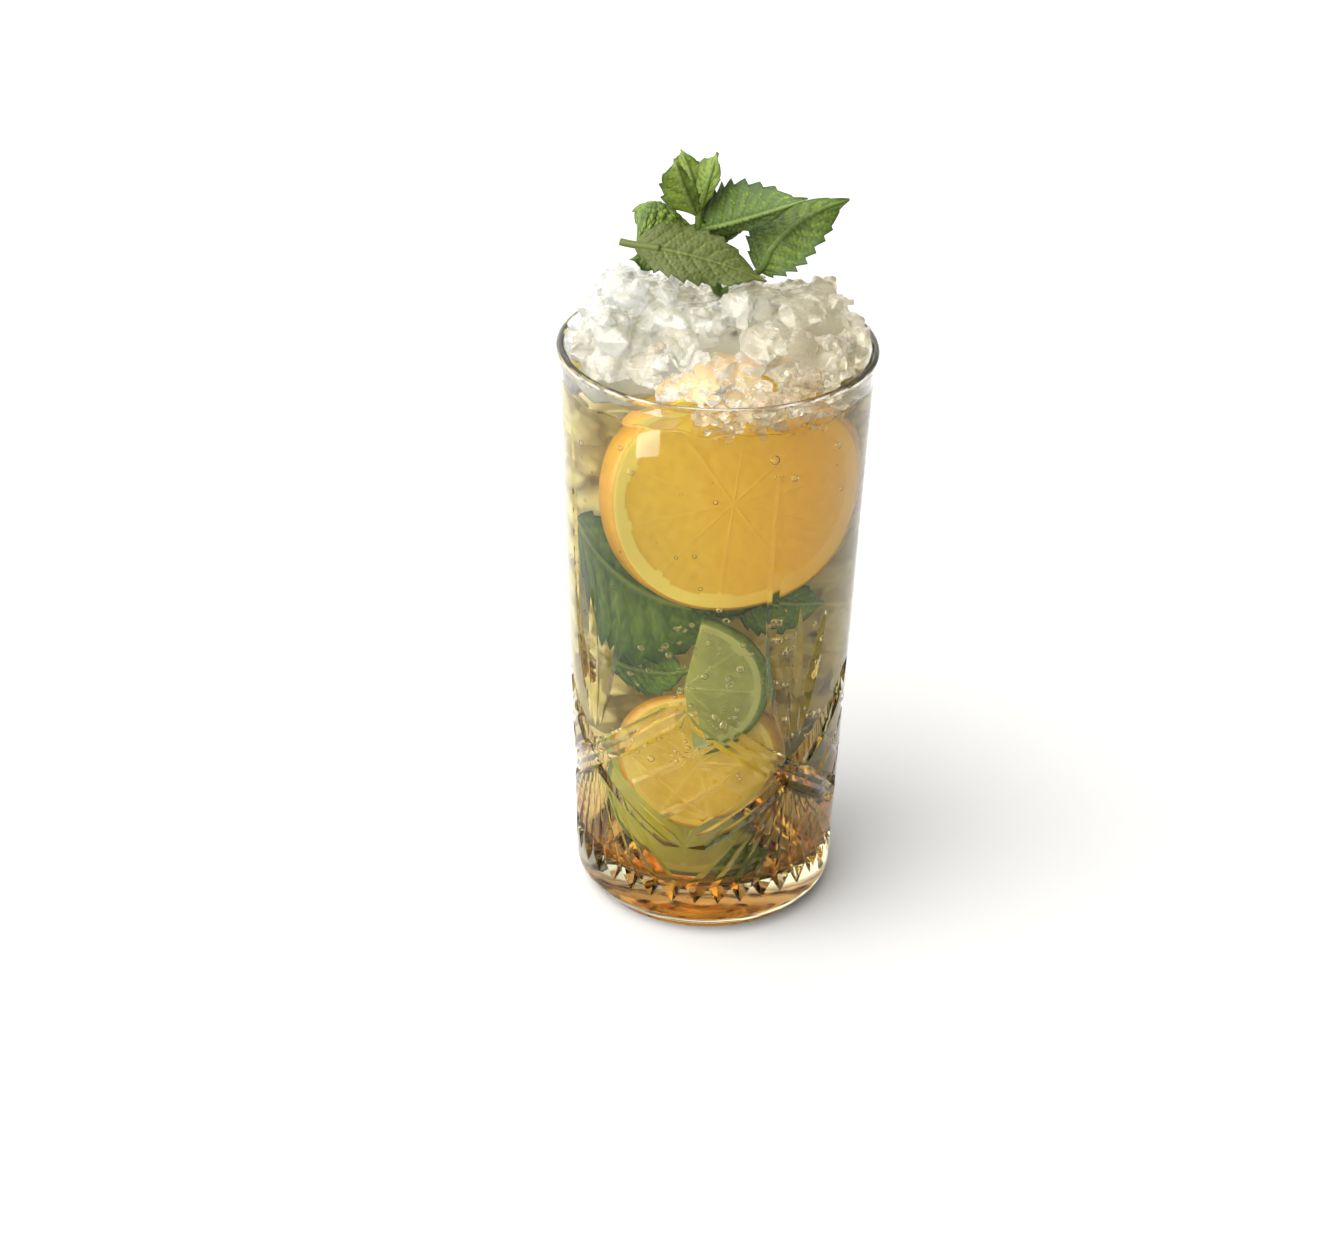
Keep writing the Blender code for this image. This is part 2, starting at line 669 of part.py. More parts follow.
def make_slice():
    return slice_solid("orange_slice", material("orange flesh", (0.85, 0.50, 0.09), 0.35))


def make_mint():
    green = material("mint leaf", (0.12, 0.27, 0.06), 0.55)
    fuse("mint_sprig", sprig_solids(), green)
    fuse("mint_leaf", loose_solids(), green)


def main():
    clear_scene()
    make_glass()
    make_drink()
    make_slice()
    make_ice()
    make_mint()


main()
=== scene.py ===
import random
from math import atan2, cos, degrees, hypot, pi, radians, sin, sqrt, tau

import bmesh
import bpy
import numpy as np
from mathutils.bvhtree import BVHTree
from mathutils import Matrix, Vector, noise


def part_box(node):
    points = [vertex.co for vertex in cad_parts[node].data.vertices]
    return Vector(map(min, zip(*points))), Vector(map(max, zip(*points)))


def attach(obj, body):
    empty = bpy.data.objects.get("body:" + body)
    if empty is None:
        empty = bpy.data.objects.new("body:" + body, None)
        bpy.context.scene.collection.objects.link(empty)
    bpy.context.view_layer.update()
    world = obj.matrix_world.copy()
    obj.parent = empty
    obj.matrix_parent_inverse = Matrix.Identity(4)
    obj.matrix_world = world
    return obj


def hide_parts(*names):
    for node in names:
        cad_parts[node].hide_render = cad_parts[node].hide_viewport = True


MM = 0.001

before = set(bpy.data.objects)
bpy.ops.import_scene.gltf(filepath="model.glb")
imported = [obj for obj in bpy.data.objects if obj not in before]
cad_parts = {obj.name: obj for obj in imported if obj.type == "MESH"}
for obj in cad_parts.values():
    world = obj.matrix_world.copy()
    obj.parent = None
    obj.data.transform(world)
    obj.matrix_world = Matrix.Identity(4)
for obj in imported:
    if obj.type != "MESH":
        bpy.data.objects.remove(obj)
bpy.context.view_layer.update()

# The glass, whose height and width come from the CAD glass
GLASS_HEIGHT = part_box("glass")[1].z
RIM_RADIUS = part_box("glass")[1].x
HEEL_Z = 6 * MM
HEEL_ROUND = 4.6 * MM
WALL_FOOT_RADIUS = 33.2 * MM
SHOULDER_Z = 139 * MM
WALL_SHOULDER_RADIUS = 37.8 * MM
RIM_THICKNESS = 2.2 * MM
RIM_RINGS = (148, 146, 144, 142, 140.5)  # heights in millimetres of the rings of its flare
RIM_FLARE = 1.3
FOOT_RING_RADIUS = 29.2 * MM
BASE_RECESS_RADIUS = 25.5 * MM
BASE_RECESS_DEPTH = 1.0 * MM
INNER_FLOOR_Z = 4.8 * MM
INNER_CORNER = 6 * MM
INNER_CORNER_Z = 17 * MM
INNER_FOOT_RADIUS = 30.1 * MM
INNER_CURVE = 0.85
GLASS_SIDES = 192

# The cut pattern, four times round the wall. Angles are in degrees from -Y towards +X.
QUARTERS = 4
HALF_QUARTER = 180 / QUARTERS
CROSS_ANGLE = 37.0
CROSS_Z = 46 * MM
DIAMOND_LOW_Z = 27 * MM
DIAMOND_HIGH_Z = 68 * MM
CUT_CLEARANCE = 0.6 * MM
ARM_WIDTH = 5.6 * MM
ARM_DEPTH = 1.4 * MM
ARM_FLUTES = 3
FLUTE_RIDGE = 0.35  # how deep the ridges between flutes lie, as a share
HATCH_WIDTH = 2.4 * MM
HATCH_DEPTH = 0.6 * MM
HATCH_LINES = 2
SPIKE_STEP = 10.0
SPIKES_EACH_SIDE = 4
SPIKE_WIDTH = 5.4 * MM
SPIKE_DEPTH = 1.7 * MM
SPIKE_TOP_DROP = 4 * MM
SPIKE_TOP_STEP = 1.6
SPIKE_DEEPEST_Z = 14 * MM
SPIKE_TIP_Z = 9.2 * MM
PLUME_STEP = 15.0
PLUMES_EACH_SIDE = 1
PLUME_FOOT_STEP = 2.5
PLUME_FOOT_RISE = 6 * MM
PLUME_FOOT_LIFT = 2 * MM
PLUME_MIDDLE_Z = 96 * MM
PLUME_DROP = 4.0 * MM
PLUME_WIDTH = 4.6 * MM
PLUME_DEPTH = 1.1 * MM
MITRE_SIDE = -12.5
MITRE_LOW_Z = 66 * MM
MITRE_HIGH_Z = 142 * MM
MITRE_WIDTH = 3.6 * MM
MITRE_DEPTH = 0.55 * MM

# The drink
LIQUID_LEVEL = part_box("drink")[1].z
INTO_WALL = 0.08 * MM  # how far the drink reaches into the glass, so that no air gap shows
DRINK_SIDES = 192
EDGE_RISE = 0.9 * MM  # how far the drink creeps up the wall
EDGE_WAVE = 0.7 * MM

# The orange slice
SLICE_RADIUS = 29.0 * MM
SLICE_THICKNESS = 7.5 * MM
SLICE_CENTRE = (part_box("orange_slice")[0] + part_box("orange_slice")[1]) / 2
SLICE_TURN = 18.0
SLICE_LEAN = 4.0
SLICE_ROLL = 11.0
SEGMENTS = 10
PEEL_INNER = 0.957  # shares of the slice's radius
PITH_INNER = 0.85

# From where to where along X a finish goes to its second colour, and how far it gets. On the drink and the
# ice that colour is painted shade, darker towards the right, where less light falls
PAINTED_SHADE_DRINK_SIDE = (0, 24 * MM, 0.8)
PAINTED_SHADE_HEAP_SIDE = (-12 * MM, 24 * MM, 0.8)
PAINTED_SHADE_FRONT_SIDE = (4 * MM, 26 * MM, 0.7)
PAINTED_SHADE_SUNK_SIDE = (-3 * MM, 12 * MM, 0.5)
# A fruit's side, its darker and lighter flesh, its membranes, its pith, its darker and lighter peel, and the
# second colour of its flesh and pith, which is painted light and shade towards that side
FRUIT_COLOURS = {
    # Painted shade: the slice's flesh and pith go darker and oranger towards the right
    "orange": (
        (-4 * MM, 18 * MM, 0.8), (236, 196, 46), (243, 207, 64), (242, 206, 66), (255, 236, 122),
        (216, 162, 42), (224, 174, 56), (238, 180, 16),
    ),
    # Painted light: the sunk orange goes paler towards the left, where the light falls
    "sunk_orange": (
        (-10 * MM, -22 * MM, 0.9), (206, 172, 40), (216, 186, 58), (218, 192, 72), (222, 200, 88),
        (206, 154, 36), (214, 166, 50), (255, 236, 140),
    ),
    # Painted light: the limes go lighter towards the left, where the light falls
    "lime": (
        (0, -15 * MM, 0.55), (120, 130, 52), (148, 155, 76), (156, 162, 86), (160, 166, 94),
        (86, 116, 40), (120, 146, 58), (212, 226, 104),
    ),
}
# How much light the glass and the drink take away
GLASS_DENSITY = 32.0
DRINK_DENSITY = 17.0

# The mint: a leaf's base, the middle of its midrib, its tip and the two ends of its
# widest line, in millimetres, then its teeth on each side
STEM_RADIUS = 1.3 * MM
STALK_RADIUS = 0.9 * MM
STEM_PLACES = ((3, 9, 150), (0, 8, 160), (-4.5, 6.5, 170), (-5.3, 6.3, 177), (-5.4, 6.5, 183.5))
LEAVES = {
    "arched": ((-5.5, 6, 176.8), (5.3, 0, 182.5), (20.2, -6, 190.4), (2.7, 8, 188.8), (4.7, 2, 178.1), 10),
    "right": ((9.4, 3, 168.3), (17, 5, 179), (30.8, 15, 182.4), (9.9, 13, 179.7), (21.4, 0, 173.7), 9),
    "left": (
        (-5.4, 6.4, 175.4), (-15.3, 6, 183.5), (-19.7, 3, 174.9), (-19.6, 13, 179.3), (-11.9, 4, 177.2), 6,
    ),
    "top_left": (
        (-5.9, 6.2, 180.4), (-9.2, 1, 190), (-11.2, 0, 196.8), (-14.7, 3, 188.1), (-6.2, 3, 189.1), 5,
    ),
    "top_middle": (
        (-5.3, 6.9, 181.4), (-7.5, 10, 188.6), (-10.3, 14, 194.4), (-11.4, 12, 189.3), (-3.2, 11, 188.8), 4,
    ),
    "top_right": (
        (-5.1, 6.1, 182.2), (-3.4, 5, 189.6), (-1.4, 8, 196.1), (-6.1, 9, 191.5), (-0.8, 4, 191), 4,
    ),
    "small": ((-5, 5.8, 178.6), (-0.1, 5, 177.4), (5.1, 4.5, 177.6), (-0.1, 6.5, 178.6), (0, 4.5, 174.8), 3),
    "low": (
        (-10.3, 6, 171.8), (-16.2, 4, 171.8), (-21.7, 1.5, 170.9), (-15.8, 7, 173.1), (-16.1, 1.5, 167.9), 4,
    ),
}
# Painted light and shade per leaf, as a share of the green ramp: the top leaves, which face away from the
# light, are painted lighter, and the arched one darker
LEAF_PAINTED_LIGHT = {"top_left": 0.4, "top_middle": 0.4, "top_right": 0.4, "right": 0.1, "arched": -0.08}
STALK_STARTS = {"right": (0, 8, 160), "low": (-4.5, 6.5, 170)}
LOOSE_LEAF = (
    (-20.6, -1, 175.8), (-4.9, -4.5, 174.4), (11.3, -6, 169.4), (-4.4, 0.5, 179.8), (-6.4, -8, 169.3), 9,
)
LOOSE_STALK_END = (-23.8, 0, 176)
TOOTH_DEPTH = 0.2
LEAF_HALF = 0.2 * MM
LEAF_RELIEF = 0.9 * MM
SMALL_RELIEF = 0.6 * MM
LOOSE_RELIEF = 0.5 * MM
LEAF_WAVE = 0.6 * MM
LEAF_TIP = (0.78, 0.95)  # between which shares of its length it narrows to its tip
LEAF_TIP_NARROWS = 0.45
LEAF_FOLDS = 0.55  # the folds' share in the relief; the cells between the finest veins have the rest
LEAF_CELL = 1.15
BIG_LEAF_TEETH = 6  # a leaf with as many teeth or more is a big one

# The ice: a steep heap with a flat top, which falls to the front and a little to the back
ICE_HEIGHT = 11.5 * MM
ICE_SIDES_UP = 3 * MM  # how much higher the heap is left and right of the mint
ICE_SIDES_FROM = 12 * MM
ICE_WAVE = 1.2 * MM
ICE_WAVE_LENGTH = 11 * MM
ICE_EDGE_DROP = 3 * MM
ICE_FRONT = -3 * MM
ICE_FALL = 0.62
ICE_BACK = 12 * MM
ICE_BACK_FALL = 0.4
ICE_RADIUS = 35 * MM
ICE_SHOULDER = 10
ICE_BOTTOM = LIQUID_LEVEL - 1.6 * MM
ICE_SEED = 11
ICE_GAP = 0.25 * MM  # how far the ice stays from the wall
GOLDEN_ANGLE = 137.5
DROP_Z = 0.3  # the height from which lumps are dropped on the heap
SMALL_LUMP = 1.7 * MM
LARGE_LUMP = 4.5 * MM
LUMP_REACH = 34.5 * MM
LUMPS = (
    # how many, from what size, to what size, how far over what lies below
    (70, 6.0, 10.0, -0.45, -0.1),
    (110, 3.0, 5.2, -0.4, 0.0),
    (1300, 0.5, 1.3, -0.6, 0.1),
)
CORE_DEPTH = 3.5 * MM
CORE_IN = 3.4 * MM
# The voxels of a remeshed piece, and how far a coarse and a fine noise move its points
HEAP_VOXEL = 0.38 * MM
HEAP_ROUGH = (0.15 * MM, 0.15 * MM)
HEAP_SHARP_ANGLE = 32
GRAIN_SHARP_ANGLE = 24
SUNK_VOXEL = 0.8 * MM
SUNK_ROUGH = (0.3 * MM, 0.2 * MM)
# Lumps that lie before the slice and on its edge: their place and size in millimetres
FRONT_LUMPS = (
    ((-2, -22, 151), 8), ((10, -14, 157), 7.5), ((19, -12, 156), 7.5), ((10, -24, 149), 6),
    ((22, -19, 149.5), 6), ((-17, -19, 152), 8), ((-11, -23, 149), 5.5), ((-24, -17, 150.5), 7),
    ((28, -14, 150), 6), ((32, -7, 150.5), 5), ((-31, -8, 151.5), 6), ((4, -26, 147.5), 4.5),
    ((16, -26, 147.5), 4), ((-28, -14, 148.5), 4.5), ((29, -9, 154), 5), ((-8, -16, 155), 6),
    ((7, -17, 151.5), 6.5), ((15, -15, 151), 6.5), ((24, -11.5, 151.5), 6.5),
)
# Lumps that stand out of the heap or fill it up to the wall
TOP_LUMPS = (
    ((-33, -5, 152.5), 4.5), ((-33, 4, 153), 5), ((-31, 12, 153), 5.5), ((34, 0, 152), 4.5),
    ((32, 9, 153), 5), ((22, 4, 161), 7), ((-23, 0, 163), 7.5), ((5, -3, 160.5), 6),
    ((-24, -9, 157), 7), ((-9, -9, 158), 7),
)
GRAINS = 120
GRAIN_SIZE = (0.9, 2.3)
GRAIN_TURNS = (-8, 60)  # between which angles they swim before the slice
GRAIN_RISE = (-1.5, 6.0)  # between which heights over the drink, in millimetres
GRAIN_REACH = 9  # how far in from the wall, in millimetres
SUNK_ICE = 620
SUNK_ICE_SIZE = (3.5, 7.5)
SUNK_ICE_LOW = 44 * MM
SUNK_ICE_BOTTOM = 36 * MM
SUNK_ICE_FRONT = 4 * MM
SUNK_ICE_LEFT = 10 * MM  # left of here it comes further to the front
SUNK_ICE_SLANT = 0.4
# The core of the sunk ice: how it lies in its lumps
CLOUD_FRONT = 8 * MM
CLOUD_SLANT = 0.3
CLOUD_IN = 5.5 * MM
CLOUD_RISE = 10 * MM
CLOUD_WAVE = 9 * MM
CLOUD_BELOW_LEVEL = 2 * MM

# What is sunk in the drink, in millimetres. Leaves are given as the garnish is.
SUNK_LEAVES = (
    ((-31, -12, 108.5), (-12, -12, 91), (9, -6.5, 87.5), (-7, -8, 104), (-17, -16, 73), 9),
    ((-6, -10.5, 93.5), (2, -8.5, 91.5), (9.5, -7, 87), (3, -6.5, 96.5), (1, -12, 85.5), 6),
    ((4, -7, 90), (13, -5, 87), (22, -3, 85), (14, -3, 93), (12, -8, 79), 8),
    ((-23, -16, 74), (-13, -14, 70), (-3.5, -13, 71), (-13, -11, 79), (-12, -17, 64.5), 8),
    ((3, -22.5, 14), (11, -23, 16), (19, -20, 20), (11, -22.6, 22), (11, -23.5, 13), 5),
)
# Orange and lime pieces: the middle of a round, its radius and thickness, how far it turns and
# leans, and the first and last angle of the part of the round that is left
SUNK_ORANGES = (
    ((-1, -19.5, 47.5), 19, 6, -8, 8, 0, 360),
)
SUNK_LIMES = (
    ((-5, -21.9, 70), 19, 5, -8, 8, -80, 80),
    ((-3.5, -14.8, 33.5), 21.5, 6, -8, 8, 140, 330),
)
# The back has the same again, turned about the glass's axis, but for the first leaf
TO_BACK = Matrix.Rotation(radians(180), 4, "Z")
BUBBLES = 150
BUBBLE_HEIGHTS = (45, 138)
LIME_BUBBLES = 90
LIME_BUBBLE_HEIGHTS = (60, 92)
LIME_BUBBLE_TURNS = (-22, 40)
BUBBLE_SIZE = (0.35, 1.1)
LEAST_BUBBLE = 0.2 * MM
BUBBLE_REACH = 12  # how far in from the wall, in millimetres
BUBBLE_SEED = 4

# The camera, fitted to the photograph
CAMERA_PLACE = Vector((0.0, -0.65528, 0.44361))
CAMERA_TARGET = Vector((-0.00985, 0.0, 0.07416))
CAMERA_ROLL = 1.26
CAMERA_LENS = 79.57

# The light: where the large soft box stands and how bright it is
SOFT_BOX = (-0.62, -0.5, 0.6)
SOFT_BOX_EDGE = (0.66, 0.93)
SOFT_BOX_STRENGTH = 5.8
# The room's light towards the back and the right: from which to which share of a direction
# it changes, and from which to which strength
ROOM_DEPTH = (-0.9, 0.2, 0.72, 1.65)
ROOM_WIDTH = (-0.6, 0.8, 1.65, 0.35)
ROOM_COLOUR = (1.0, 0.985, 0.96, 1)
FLOOR_SIZE = 6.0
FLOOR_DROP = 0.2 * MM
FLOOR_SHADE = 0.44
# A small card close before the wall, which only the wall's gloss shows
CARD_PLACE = (-0.0311, -0.0470, 0.1268)
CARD_TARGET = (-0.0153, -0.0348, 0.1421)
CARD_SIZE = (12 * MM, 3.5 * MM)
CARD_POWER = 0.0032


def rgb(*values):
    """A colour as 0 to 255 on screen, made linear."""
    shares = [value / 255 for value in values]
    return (*[part / 12.92 if part <= 0.04045 else ((part + 0.055) / 1.055) ** 2.4 for part in shares], 1.0)


# Mesh helpers

def add_mesh(name, points, faces, finish=None, smooth=True):
    mesh = bpy.data.meshes.new(name)
    mesh.from_pydata([tuple(p) for p in points], [], [tuple(f) for f in faces])
    if finish:
        mesh.materials.append(finish)
    if smooth:
        mesh.shade_smooth()
    obj = bpy.data.objects.new(name, mesh)
    bpy.context.scene.collection.objects.link(obj)
    return obj


def place_piece(obj, slot, *nodes):
    """The piece rides on the one body and stands for CAD nodes, which it hides. The slot is not used."""
    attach(obj, "root")
    if nodes:
        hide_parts(*nodes)


def apply_modifiers(obj):
    bpy.context.view_layer.update()
    graph = bpy.context.evaluated_depsgraph_get()
    mesh = bpy.data.meshes.new_from_object(obj.evaluated_get(graph))
    obj.modifiers.clear()
    obj.data = mesh


def around(radius, turn):
    """X and Y at a radius and an angle from -Y towards +X."""
    return radius * sin(turn), -radius * cos(turn)


def quads(start, rings, sides, columns):
    """The corners of each quad between one ring of points and the next."""
    for ring in range(rings):
        for side in range(sides):
            a = start + ring * columns + side
            b = start + ring * columns + (side + 1) % columns
            yield a, b, b + columns, a + columns


def beside(rows, index):
    """What stands before and after a row, or the row itself at an end."""
    return rows[max(index - 1, 0)], rows[min(index + 1, len(rows) - 1)]


def end_caps(count, sides):
    """The first and the last ring of a tube as faces."""
    return [list(range(sides)), list(range(count - 1, count - sides - 1, -1))]


def arc(centre, radius, start, end, steps):
    turns = [radians(start + (end - start) * step / steps) for step in range(steps + 1)]
    return [(centre[0] + radius * cos(turn), centre[1] + radius * sin(turn)) for turn in turns]


def lathe(name, profile, finish, sides):
    """Turns an outline of (radius, z), which runs down the outer side, about the Z axis."""
    points = []
    rings = []
    for place, (radius, z) in enumerate(profile):
        if place and (radius, z) == profile[0]:
            rings.append(rings[0])
            continue
        if radius < 1e-6:
            rings.append([len(points)] * sides)
            points.append(Vector((0, 0, z)))
            continue
        rings.append(list(range(len(points), len(points) + sides)))
        for side in range(sides):
            turn = tau * side / sides
            points.append(Vector((*around(radius, turn), z)))
    faces = []
    for upper, lower in zip(rings, rings[1:]):
        for side in range(sides):
            after = (side + 1) % sides
            corners = dict.fromkeys((upper[side], lower[side], lower[after], upper[after]))
            if len(corners) > 2:
                faces.append(list(corners))
    return add_mesh(name, points, faces, finish)


# Materials

class Nodes:
    """Short calls for the nodes of a material or of the world."""

    def __init__(self, tree):
        self.tree = tree

    def node(self, kind, inputs=None, **settings):
        made = self.tree.nodes.new("ShaderNode" + kind)
        for key, value in settings.items():
            setattr(made, key, value)
        for key, value in (inputs or {}).items():
            if isinstance(value, bpy.types.NodeSocket):
                self.tree.links.new(value, made.inputs[key])
            else:
                made.inputs[key].default_value = value
        return made

    def maths(self, operation, first, second):
        return self.node("Math", {0: first, 1: second}, operation=operation).outputs[0]


class Finish(Nodes):
    """A material with a Principled shader and short calls for the nodes before it."""

    def __init__(self, name, **sockets):
        self.material = bpy.data.materials.new(name)
        self.material.use_nodes = True
        super().__init__(self.material.node_tree)
        self.shader = self.tree.nodes["Principled BSDF"]
        for socket, value in sockets.items():
            self.shader.inputs[socket.replace("_", " ")].default_value = value

    def paint(self, colour):
        self.tree.links.new(colour, self.shader.inputs["Base Color"])

    def place(self):
        return self.node("TexCoord").outputs["Object"]

    def coordinate(self, axis):
        return self.node("SeparateXYZ", {"Vector": self.place()}).outputs[axis]

    def value(self, name):
        return self.node("Attribute", attribute_name=name).outputs["Fac"]

    def noise(self, scale, detail=3.0, roughness=0.5):
        inputs = {"Vector": self.place(), "Scale": scale, "Detail": detail, "Roughness": roughness}
        return self.node("TexNoise", inputs).outputs["Fac"]

    def share(self, value, low, high, most=1.0):
        """Goes from 0 to most while the value goes from low to high."""
        span = {"Value": value, "From Min": low, "From Max": high, "To Max": most}
        return self.node("MapRange", span).outputs["Result"]

    def ramp(self, source, *stops):
        """Colours at places from 0 to 1 along the source."""
        made = self.node("ValToRGB", {"Fac": source})
        elements = made.color_ramp.elements
        while len(elements) < len(stops):
            elements.new(0.5)
        for element, (position, colour) in zip(elements, stops):
            element.position = position
            element.color = colour
        return made.outputs["Color"]

    def grain(self, low, high, *noise):
        """From one colour to another by a noise."""
        return self.ramp(self.noise(*noise), (0.3, low), (0.7, high))

    def mix(self, share, first, second):
        return self.node("Mix", {0: share, 6: first, 7: second}, data_type="RGBA").outputs[2]

    def across(self, side, first, second):
        """Goes along X to a second colour, by one of the sides above: painted light and shade by side."""
        return self.mix(self.share(self.coordinate("X"), *side), first, second)

    def bump(self, height, distance, strength=1.0):
        made = self.node("Bump", {"Height": height, "Distance": distance, "Strength": strength})
        self.tree.links.new(made.outputs["Normal"], self.shader.inputs["Normal"])

    def absorb(self, colour, density):
        made = self.node("VolumeAbsorption", {"Color": colour, "Density": density})
        self.tree.links.new(made.outputs["Volume"], self.tree.nodes["Material Output"].inputs["Volume"])


def glass_finish():
    made = Finish(
        "clear_glass", Base_Color=(1, 1, 1, 1), Roughness=0.0, IOR=1.5, Transmission_Weight=1.0,
        Specular_Tint=(0.15, 0.15, 0.15, 1),
    )
    made.absorb(rgb(210, 209, 176), GLASS_DENSITY)
    return made.material


def drink_finish():
    made = Finish("mojito", Roughness=0.0, IOR=1.34, Transmission_Weight=1.0)
    share = made.share(made.coordinate("Z"), INNER_FLOOR_Z, LIQUID_LEVEL)
    colour = made.ramp(
        share, (0.0, rgb(218, 146, 50)), (0.06, rgb(228, 166, 72)), (0.16, rgb(242, 222, 164)),
        (0.4, rgb(250, 246, 228)),
    )
    # Painted shade: the drink turns darker and browner towards the right, where less light falls
    painted_shade_colour = made.ramp(share, (0.0, rgb(92, 68, 34)), (0.15, rgb(106, 82, 44)), (0.35, rgb(246, 242, 216)))
    made.paint(made.across(PAINTED_SHADE_DRINK_SIDE, colour, painted_shade_colour))
    made.absorb((0.84, 0.70, 0.14, 1.0), DRINK_DENSITY)
    return made.material


def heaped_ice_finish():
    made = Finish(
        "wet_ice", Roughness=0.25, IOR=1.31, Transmission_Weight=0.76, Coat_Weight=0.4, Coat_Roughness=0.08,
    )
    colour = made.grain(rgb(225, 227, 220), rgb(239, 241, 239), 110.0, 4.0, 0.6)
    # Painted shade: the heap turns darker and warmer towards the right, where less light falls
    made.paint(made.across(PAINTED_SHADE_HEAP_SIDE, colour, rgb(220, 211, 184)))
    made.bump(made.noise(1000.0, 4.0, 0.7), 0.3 * MM, 0.8)
    return made.material


def front_ice_finish():
    made = Finish("front_ice", Roughness=0.12, IOR=1.31, Transmission_Weight=0.88)
    colour = made.grain(rgb(242, 237, 220), rgb(254, 252, 246), 220.0)
    # Painted shade: the front lumps turn darker and warmer towards the right, where less light falls
    made.paint(made.across(PAINTED_SHADE_FRONT_SIDE, colour, rgb(226, 219, 198)))
    made.bump(made.noise(1000.0, 3.0, 0.6), 0.15 * MM, 0.5)
    return made.material


def grain_ice_finish():
    made = Finish("clear_ice", Roughness=0.28, IOR=1.31, Transmission_Weight=0.93)
    made.paint(made.grain(rgb(246, 234, 206), rgb(254, 248, 232), 400.0))
    return made.material


def sunk_ice_finish():
    made = Finish("sunk_ice", Roughness=0.6, IOR=1.34, Transmission_Weight=0.15)
    colour = made.grain(rgb(238, 230, 174), rgb(244, 239, 194), 90.0)
    # Painted shade: the sunk ice turns darker and yellower towards the right, where less light falls
    made.paint(made.across(PAINTED_SHADE_SUNK_SIDE, colour, rgb(212, 204, 146)))
    return made.material


def fruit_finish(name):
    """Flesh, pith and peel by the piece's zone attribute: 0 flesh, 1 pith, 2 peel."""
    side, *colours = FRUIT_COLOURS[name]
    flesh_dark, flesh_light, membrane, pith, peel_dark, peel_light, second = (rgb(*row) for row in colours)
    made = Finish(name, Roughness=0.3)
    zone = made.value("zone")
    flesh = made.grain(flesh_dark, flesh_light, 220.0, 4.0, 0.6)
    flesh = made.mix(made.value("membrane"), flesh, membrane)
    peel = made.grain(peel_dark, peel_light, 900.0, 2.0)
    # Painted light and shade: flesh and pith go to the second colour towards the fruit's side
    colour = made.across(side, made.mix(made.share(zone, 0.35, 0.65), flesh, pith), second)
    made.paint(made.mix(made.share(zone, 1.3, 1.7), colour, peel))
    made.bump(made.noise(1500.0, 2.0), 0.1 * MM, 0.5)
    return made.material


def bubble_finish():
    made = Finish("bubble", Base_Color=(1, 1, 1, 1), Roughness=0.0, IOR=0.75, Transmission_Weight=1.0)
    return made.material


def leaf_finish(name, shaded_valley, middle, lit_bulge, vein):
    """Green by the leaf's relief attribute, 0 in the valleys and 1 on the bulges, and its veins. The green is
    painted shade in the valleys and painted light on the bulges.
    """
    made = Finish(name, Roughness=0.55, Specular_IOR_Level=0.28)
    relief = made.maths("ADD", made.value("relief"), made.maths("MULTIPLY", made.noise(150.0, 4.0, 0.6), 0.5))
    # Painted shade in the valleys and painted light on the bulges of the relief
    colour = made.ramp(made.maths("SUBTRACT", relief, 0.25), (0.0, shaded_valley), (0.45, middle), (1.0, lit_bulge))
    made.paint(made.mix(made.value("vein"), colour, vein))
    made.bump(made.noise(2600.0, 2.0), 0.08 * MM, 0.5)
    return made.material


# The glass

def wall_radius(z):
    share = (z - HEEL_Z) / (SHOULDER_Z - HEEL_Z)
    radius = WALL_FOOT_RADIUS + (WALL_SHOULDER_RADIUS - WALL_FOOT_RADIUS) * share
    if z > SHOULDER_Z:
        flare = (z - SHOULDER_Z) / (GLASS_HEIGHT - SHOULDER_Z)
        radius = WALL_SHOULDER_RADIUS + (RIM_RADIUS - WALL_SHOULDER_RADIUS) * flare**RIM_FLARE
    return radius


def inner_radius(z):
    """The inner wall's radius at a height or at an array of them."""
    share = np.maximum(z - INNER_CORNER_Z, 0.0) / (GLASS_HEIGHT - INNER_CORNER_Z)
    return INNER_FOOT_RADIUS + (RIM_RADIUS - RIM_THICKNESS - INNER_FOOT_RADIUS) * share**INNER_CURVE


def inner_outline(top_z, out=0.0):
    """The inside of the glass as (radius, z): a shallow bowl that runs into a round, and the wall."""
    corner = (INNER_FOOT_RADIUS - INNER_CORNER, INNER_CORNER_Z)
    rise = INNER_CORNER_Z - INNER_FLOOR_Z
    bowl = (corner[0] ** 2 + rise**2 - INNER_CORNER**2) / (2 * (rise - INNER_CORNER))
    centre = (0.0, INNER_FLOOR_Z + bowl)
    tilt = degrees(atan2(corner[0], centre[1] - corner[1]))
    outline = arc(centre, bowl + out, -90, tilt - 90, 10)[:-1]
    outline += arc(corner, INNER_CORNER + out, tilt - 90, -6, 10)
    steps = 16
    for step in range(1, steps + 1):
        z = corner[1] + (top_z - corner[1]) * step / steps
        outline.append((inner_radius(z) + out, z))
    return outline


def on_wall(angle, z, out=0.0):
    return Vector((*around(wall_radius(z) + out, radians(angle)), z))


